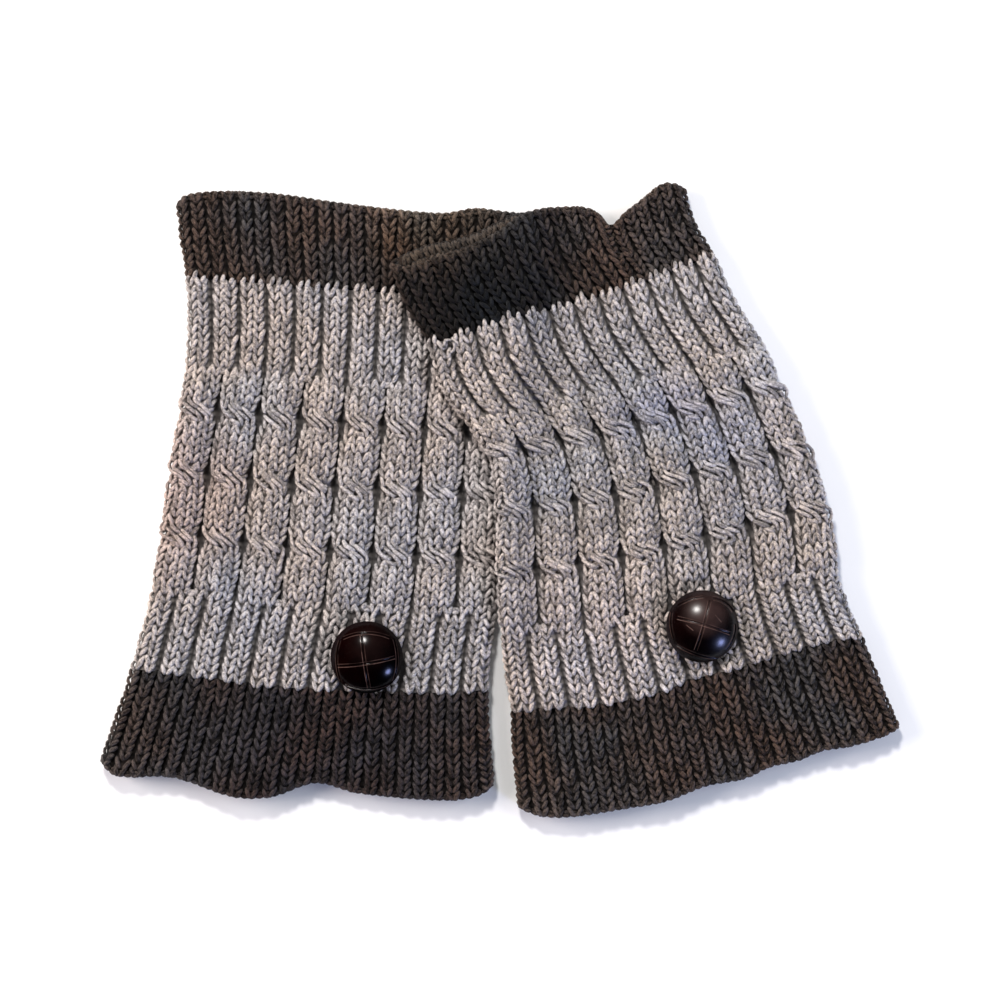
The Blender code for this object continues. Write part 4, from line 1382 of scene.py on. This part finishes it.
class LEGWARMERS_OT_knit(bpy.types.Operator):
    """Knit both leg warmers: their walls, every stitch of yarn, and the bound-off edges"""

    bl_idname = "legwarmers.knit"
    bl_label = "Knit"

    def execute(self, context):
        sizes = context.scene.leg_warmer_sizes
        colours = context.scene.leg_warmer_colours
        warm, cool = colours.warm, colours.cool
        heather = Yarn(colours.heather_light, colours.heather_dark, warm, cool, HEATHER_PAINTED_LIGHT_AND_SHADE, 30.0)
        brown, grey = colours.band_warm, colours.band_cool
        dark_rib = Yarn(colours.band_light, colours.band_dark, brown, grey, BAND_SHADE_AND_TINTS, 42.0)
        inner = Yarn(colours.lining_light, colours.band_dark, warm, cool, (), 30.0)
        heather_yarn = yarn_paint("heather_yarn", heather, 0.22)
        band_yarn = yarn_paint("band_yarn", dark_rib, 0.06)
        lining_yarn = yarn_paint("lining_yarn", inner, 0.1)
        heather_wall = wall_paint("heather_purl", heather, 0.1, 48)
        band_wall = wall_paint("band_purl", dark_rib, 0.05, 44)
        for number, tube in enumerate(TUBES.values()):
            self.bands(tube, sizes, band_yarn, number)
            dress(mouth_lining(tube, sizes, 300 + number), lining_yarn, "dark_rib")
            self.body(tube, sizes, heather_yarn, number)
            self.walls(tube, sizes, heather_wall, band_wall)
        return {"FINISHED"}

    def bands(self, tube, sizes, material, number):
        """The knit-one purl-one bands: only their knit wales show, each a column of stitches."""
        for piece, count, first, last in (
            ("top_band", TOP_RIBS, MOUTH, TOP_BAND_END),
            ("hem_band", HEM_RIBS, BODY_END, HEM_END),
        ):
            pitch = tube.width_at((first + last) / 2) / count * BAND_PITCH
            for back in (False, True):
                legs = Legs(tube, sizes, piece, back, seed=100 * number + first + 7 * back)
                for column in range(count):
                    share = (column + 0.5) / count
                    legs.stitches(lambda row, share=share: share + 0 * row, first, last, pitch)
                made = legs.mesh(f"{tube.warmer.name}_{piece}_{'underside_' if back else ''}stitches")
                if not back:
                    rim = MOUTH if first == MOUTH else HEM_END
                    made = joined(made, edge_chain(tube, sizes, rim, 500 + 10 * number + rim))
                dress(made, material, "dark_rib")

    def body(self, tube, sizes, material, number):
        """The body's stitches: ribs and cables apart in front, and both in one piece underneath."""
        for back in (False, True):
            ribs = Legs(tube, sizes, "body", back, seed=900 + 10 * number + back)
            cables = ribs if back else Legs(tube, sizes, "body", back, seed=902 + 10 * number)
            for group, wale, first, last, cable, crossing in body_wales():

                def centre(row, group=group, wale=wale, crossing=crossing):
                    return (group + wale_path(wale, row, crossing)) / GROUPS

                crosses_over = cable and wale in OVER_WALES
                lift = (sizes.crossing_rise if crosses_over else -sizes.crossing_dip) / MM * cable
                lift = lift * (BACK_LIFT if back else 1.0)
                width = tube.width_at((first + last) / 2) + FOLD_EXTRA
                pitch = width / GROUPS * (CABLE_PITCH if cable else RIB_PITCH)
                (cables if cable else ribs).stitches(centre, first, last, pitch, lift, crosses_over)
            parts = {"underside_body": ribs}
            if not back:
                self.tips(ribs)
                self.rib_ends(ribs)
                if tube.warmer.lies_over:
                    self.loose_loop(ribs, *LOOSE_LOOP)
                parts = {"rib": ribs, "cable": cables}
            for kind, legs in parts.items():
                dress(legs.mesh(f"{tube.warmer.name}_{kind}_stitches"), material, "heather_knit")

    def tips(self, legs):
        """The loops of light yarn that reach up into the dark band over each rib."""
        ribs = GROUPS * 3
        middle = (np.arange(ribs)[:, None] + 0.5) / ribs
        reach = np.linspace(0, 1, 6)
        for start, end, start_row, end_row in TIPS:
            shake = legs.random.normal(0, 1, (3, ribs, 1))
            shares = middle + (start + (end - start) * reach + shake[0] * 0.03) / ribs
            rows = TOP_BAND_END + start_row + (end_row - start_row) * reach + shake[1] * 0.12
            offs = LEG_HEIGHT + 0.15 + shake[2] * 0.08
            legs.add(rows, np.clip(shares, 0, 1), offs, np.broadcast_to(LEG_GIRTH, rows.shape))

    def rib_ends(self, legs):
        """The rounded end of the middle rib of each three, above the cables and below them."""
        middle = (np.arange(GROUPS)[:, None] + 0.5) / GROUPS
        along = np.linspace(-1, 1, 6)
        for row, towards in ((CABLES_START, 1), (CABLES_END, -1)):
            for size in (1.0, 0.5):
                shares = middle + along * 0.075 * size / GROUPS
                rows = row + towards * (0.75 * size * np.sqrt(1 - 0.9 * along**2) - 0.15) + 0 * shares
                legs.add(rows, shares, 0.35 + 0.3 * LEG_HEIGHT + 0 * shares, LEG_GIRTH + 0 * shares)

    def loose_loop(self, legs, row, share):
        """A stray loop of light yarn that stands out at the colour change."""
        for half in (0, 1):
            turn = (np.linspace(0, 1, 6)[None] + half) * 2.6 - 0.4
            rows = row + 0.75 * np.cos(turn)
            shares = share + 0.017 * np.sin(turn)
            legs.add(rows, shares, 1.0 + 0.9 * np.sin(turn * 0.6), np.full(rows.shape, 0.6))

    def walls(self, tube, sizes, heather_wall, band_wall):
        """The plain walls behind the yarn, which stand for the CAD pieces."""
        name = tube.warmer.name
        top_rows = np.linspace(MOUTH, TOP_BAND_END, 12)
        body_rows = np.concatenate([np.arange(TOP_BAND_END, BODY_END, 0.75), [BODY_END]])
        hem_rows = np.linspace(BODY_END, HEM_END, 15)
        for piece, rows, columns, material, slot in (
            ("top_band", top_rows, 132, band_wall, "dark_rib"),
            ("body", body_rows, 144, heather_wall, "heather_knit"),
            ("hem_band", hem_rows, 144, band_wall, "dark_rib"),
        ):
            first, last = float(rows[0]), float(rows[-1])
            rows[0], rows[-1] = parted(first, last)
            made = wall(tube, sizes, piece, rows, columns)
            dress(made, material, slot, f"{name}_{piece}")
            flat = (tube.width_at((first + last) / 2) * 2 * MM, (last - first) * ROW_HEIGHT * MM)

    def on(self, name, piece):
        """The names of the pieces of yarn on one wall."""
        if piece == "body":
            kinds = ("rib_stitches", "cable_stitches", "underside_body_stitches")
            return [f"{name}_{kind}" for kind in kinds]
        inner = [f"{name}_mouth_lining"] if piece == "top_band" else []
        return [f"{name}_{piece}_stitches", f"{name}_{piece}_underside_stitches", *inner]


class LEGWARMERS_OT_buttons(bpy.types.Operator):
    """Make the two domed buttons and seat them on the knitting"""

    bl_idname = "legwarmers.buttons"
    bl_label = "Buttons"

    def execute(self, context):
        sizes = context.scene.leg_warmer_sizes
        colours = context.scene.leg_warmer_colours
        for name, warmer in WARMERS.items():
            deselect()
            made, middle, cuts = make_button(warmer, sizes)
            leather = leather_paint(f"{name}_leather_look", colours, middle, cuts, warmer.button)
            dress(made, leather, "button", f"{name}_button")
        return {"FINISHED"}


class LEGWARMERS_PT_panel(bpy.types.Panel):
    """Sizes, colours and making of the leg warmers"""

    bl_label = "Leg warmers"
    bl_idname = "LEGWARMERS_PT_panel"
    bl_space_type = "VIEW_3D"
    bl_region_type = "UI"
    bl_category = "Leg warmers"

    def draw(self, context):
        layout = self.layout
        for group in (context.scene.leg_warmer_sizes, context.scene.leg_warmer_colours):
            box = layout.box()
            for name in group.bl_rna.properties.keys():
                if name not in ("rna_type", "name"):
                    box.prop(group, name)
        for operator in OPERATORS:
            layout.operator(operator.bl_idname)


OPERATORS = (LEGWARMERS_OT_stage, LEGWARMERS_OT_knit, LEGWARMERS_OT_buttons)
CLASSES = (LegWarmerSizes, LegWarmerColours, *OPERATORS, LEGWARMERS_PT_panel)


def register():
    for made in CLASSES:
        bpy.utils.register_class(made)
    bpy.types.Scene.leg_warmer_sizes = bpy.props.PointerProperty(type=LegWarmerSizes)
    bpy.types.Scene.leg_warmer_colours = bpy.props.PointerProperty(type=LegWarmerColours)


def unregister():
    del bpy.types.Scene.leg_warmer_colours
    del bpy.types.Scene.leg_warmer_sizes
    for made in reversed(CLASSES):
        bpy.utils.unregister_class(made)


def main():
    register()
    bpy.ops.legwarmers.stage()
    bpy.ops.legwarmers.knit()
    bpy.ops.legwarmers.buttons()


if __name__ == "__main__":
    main()
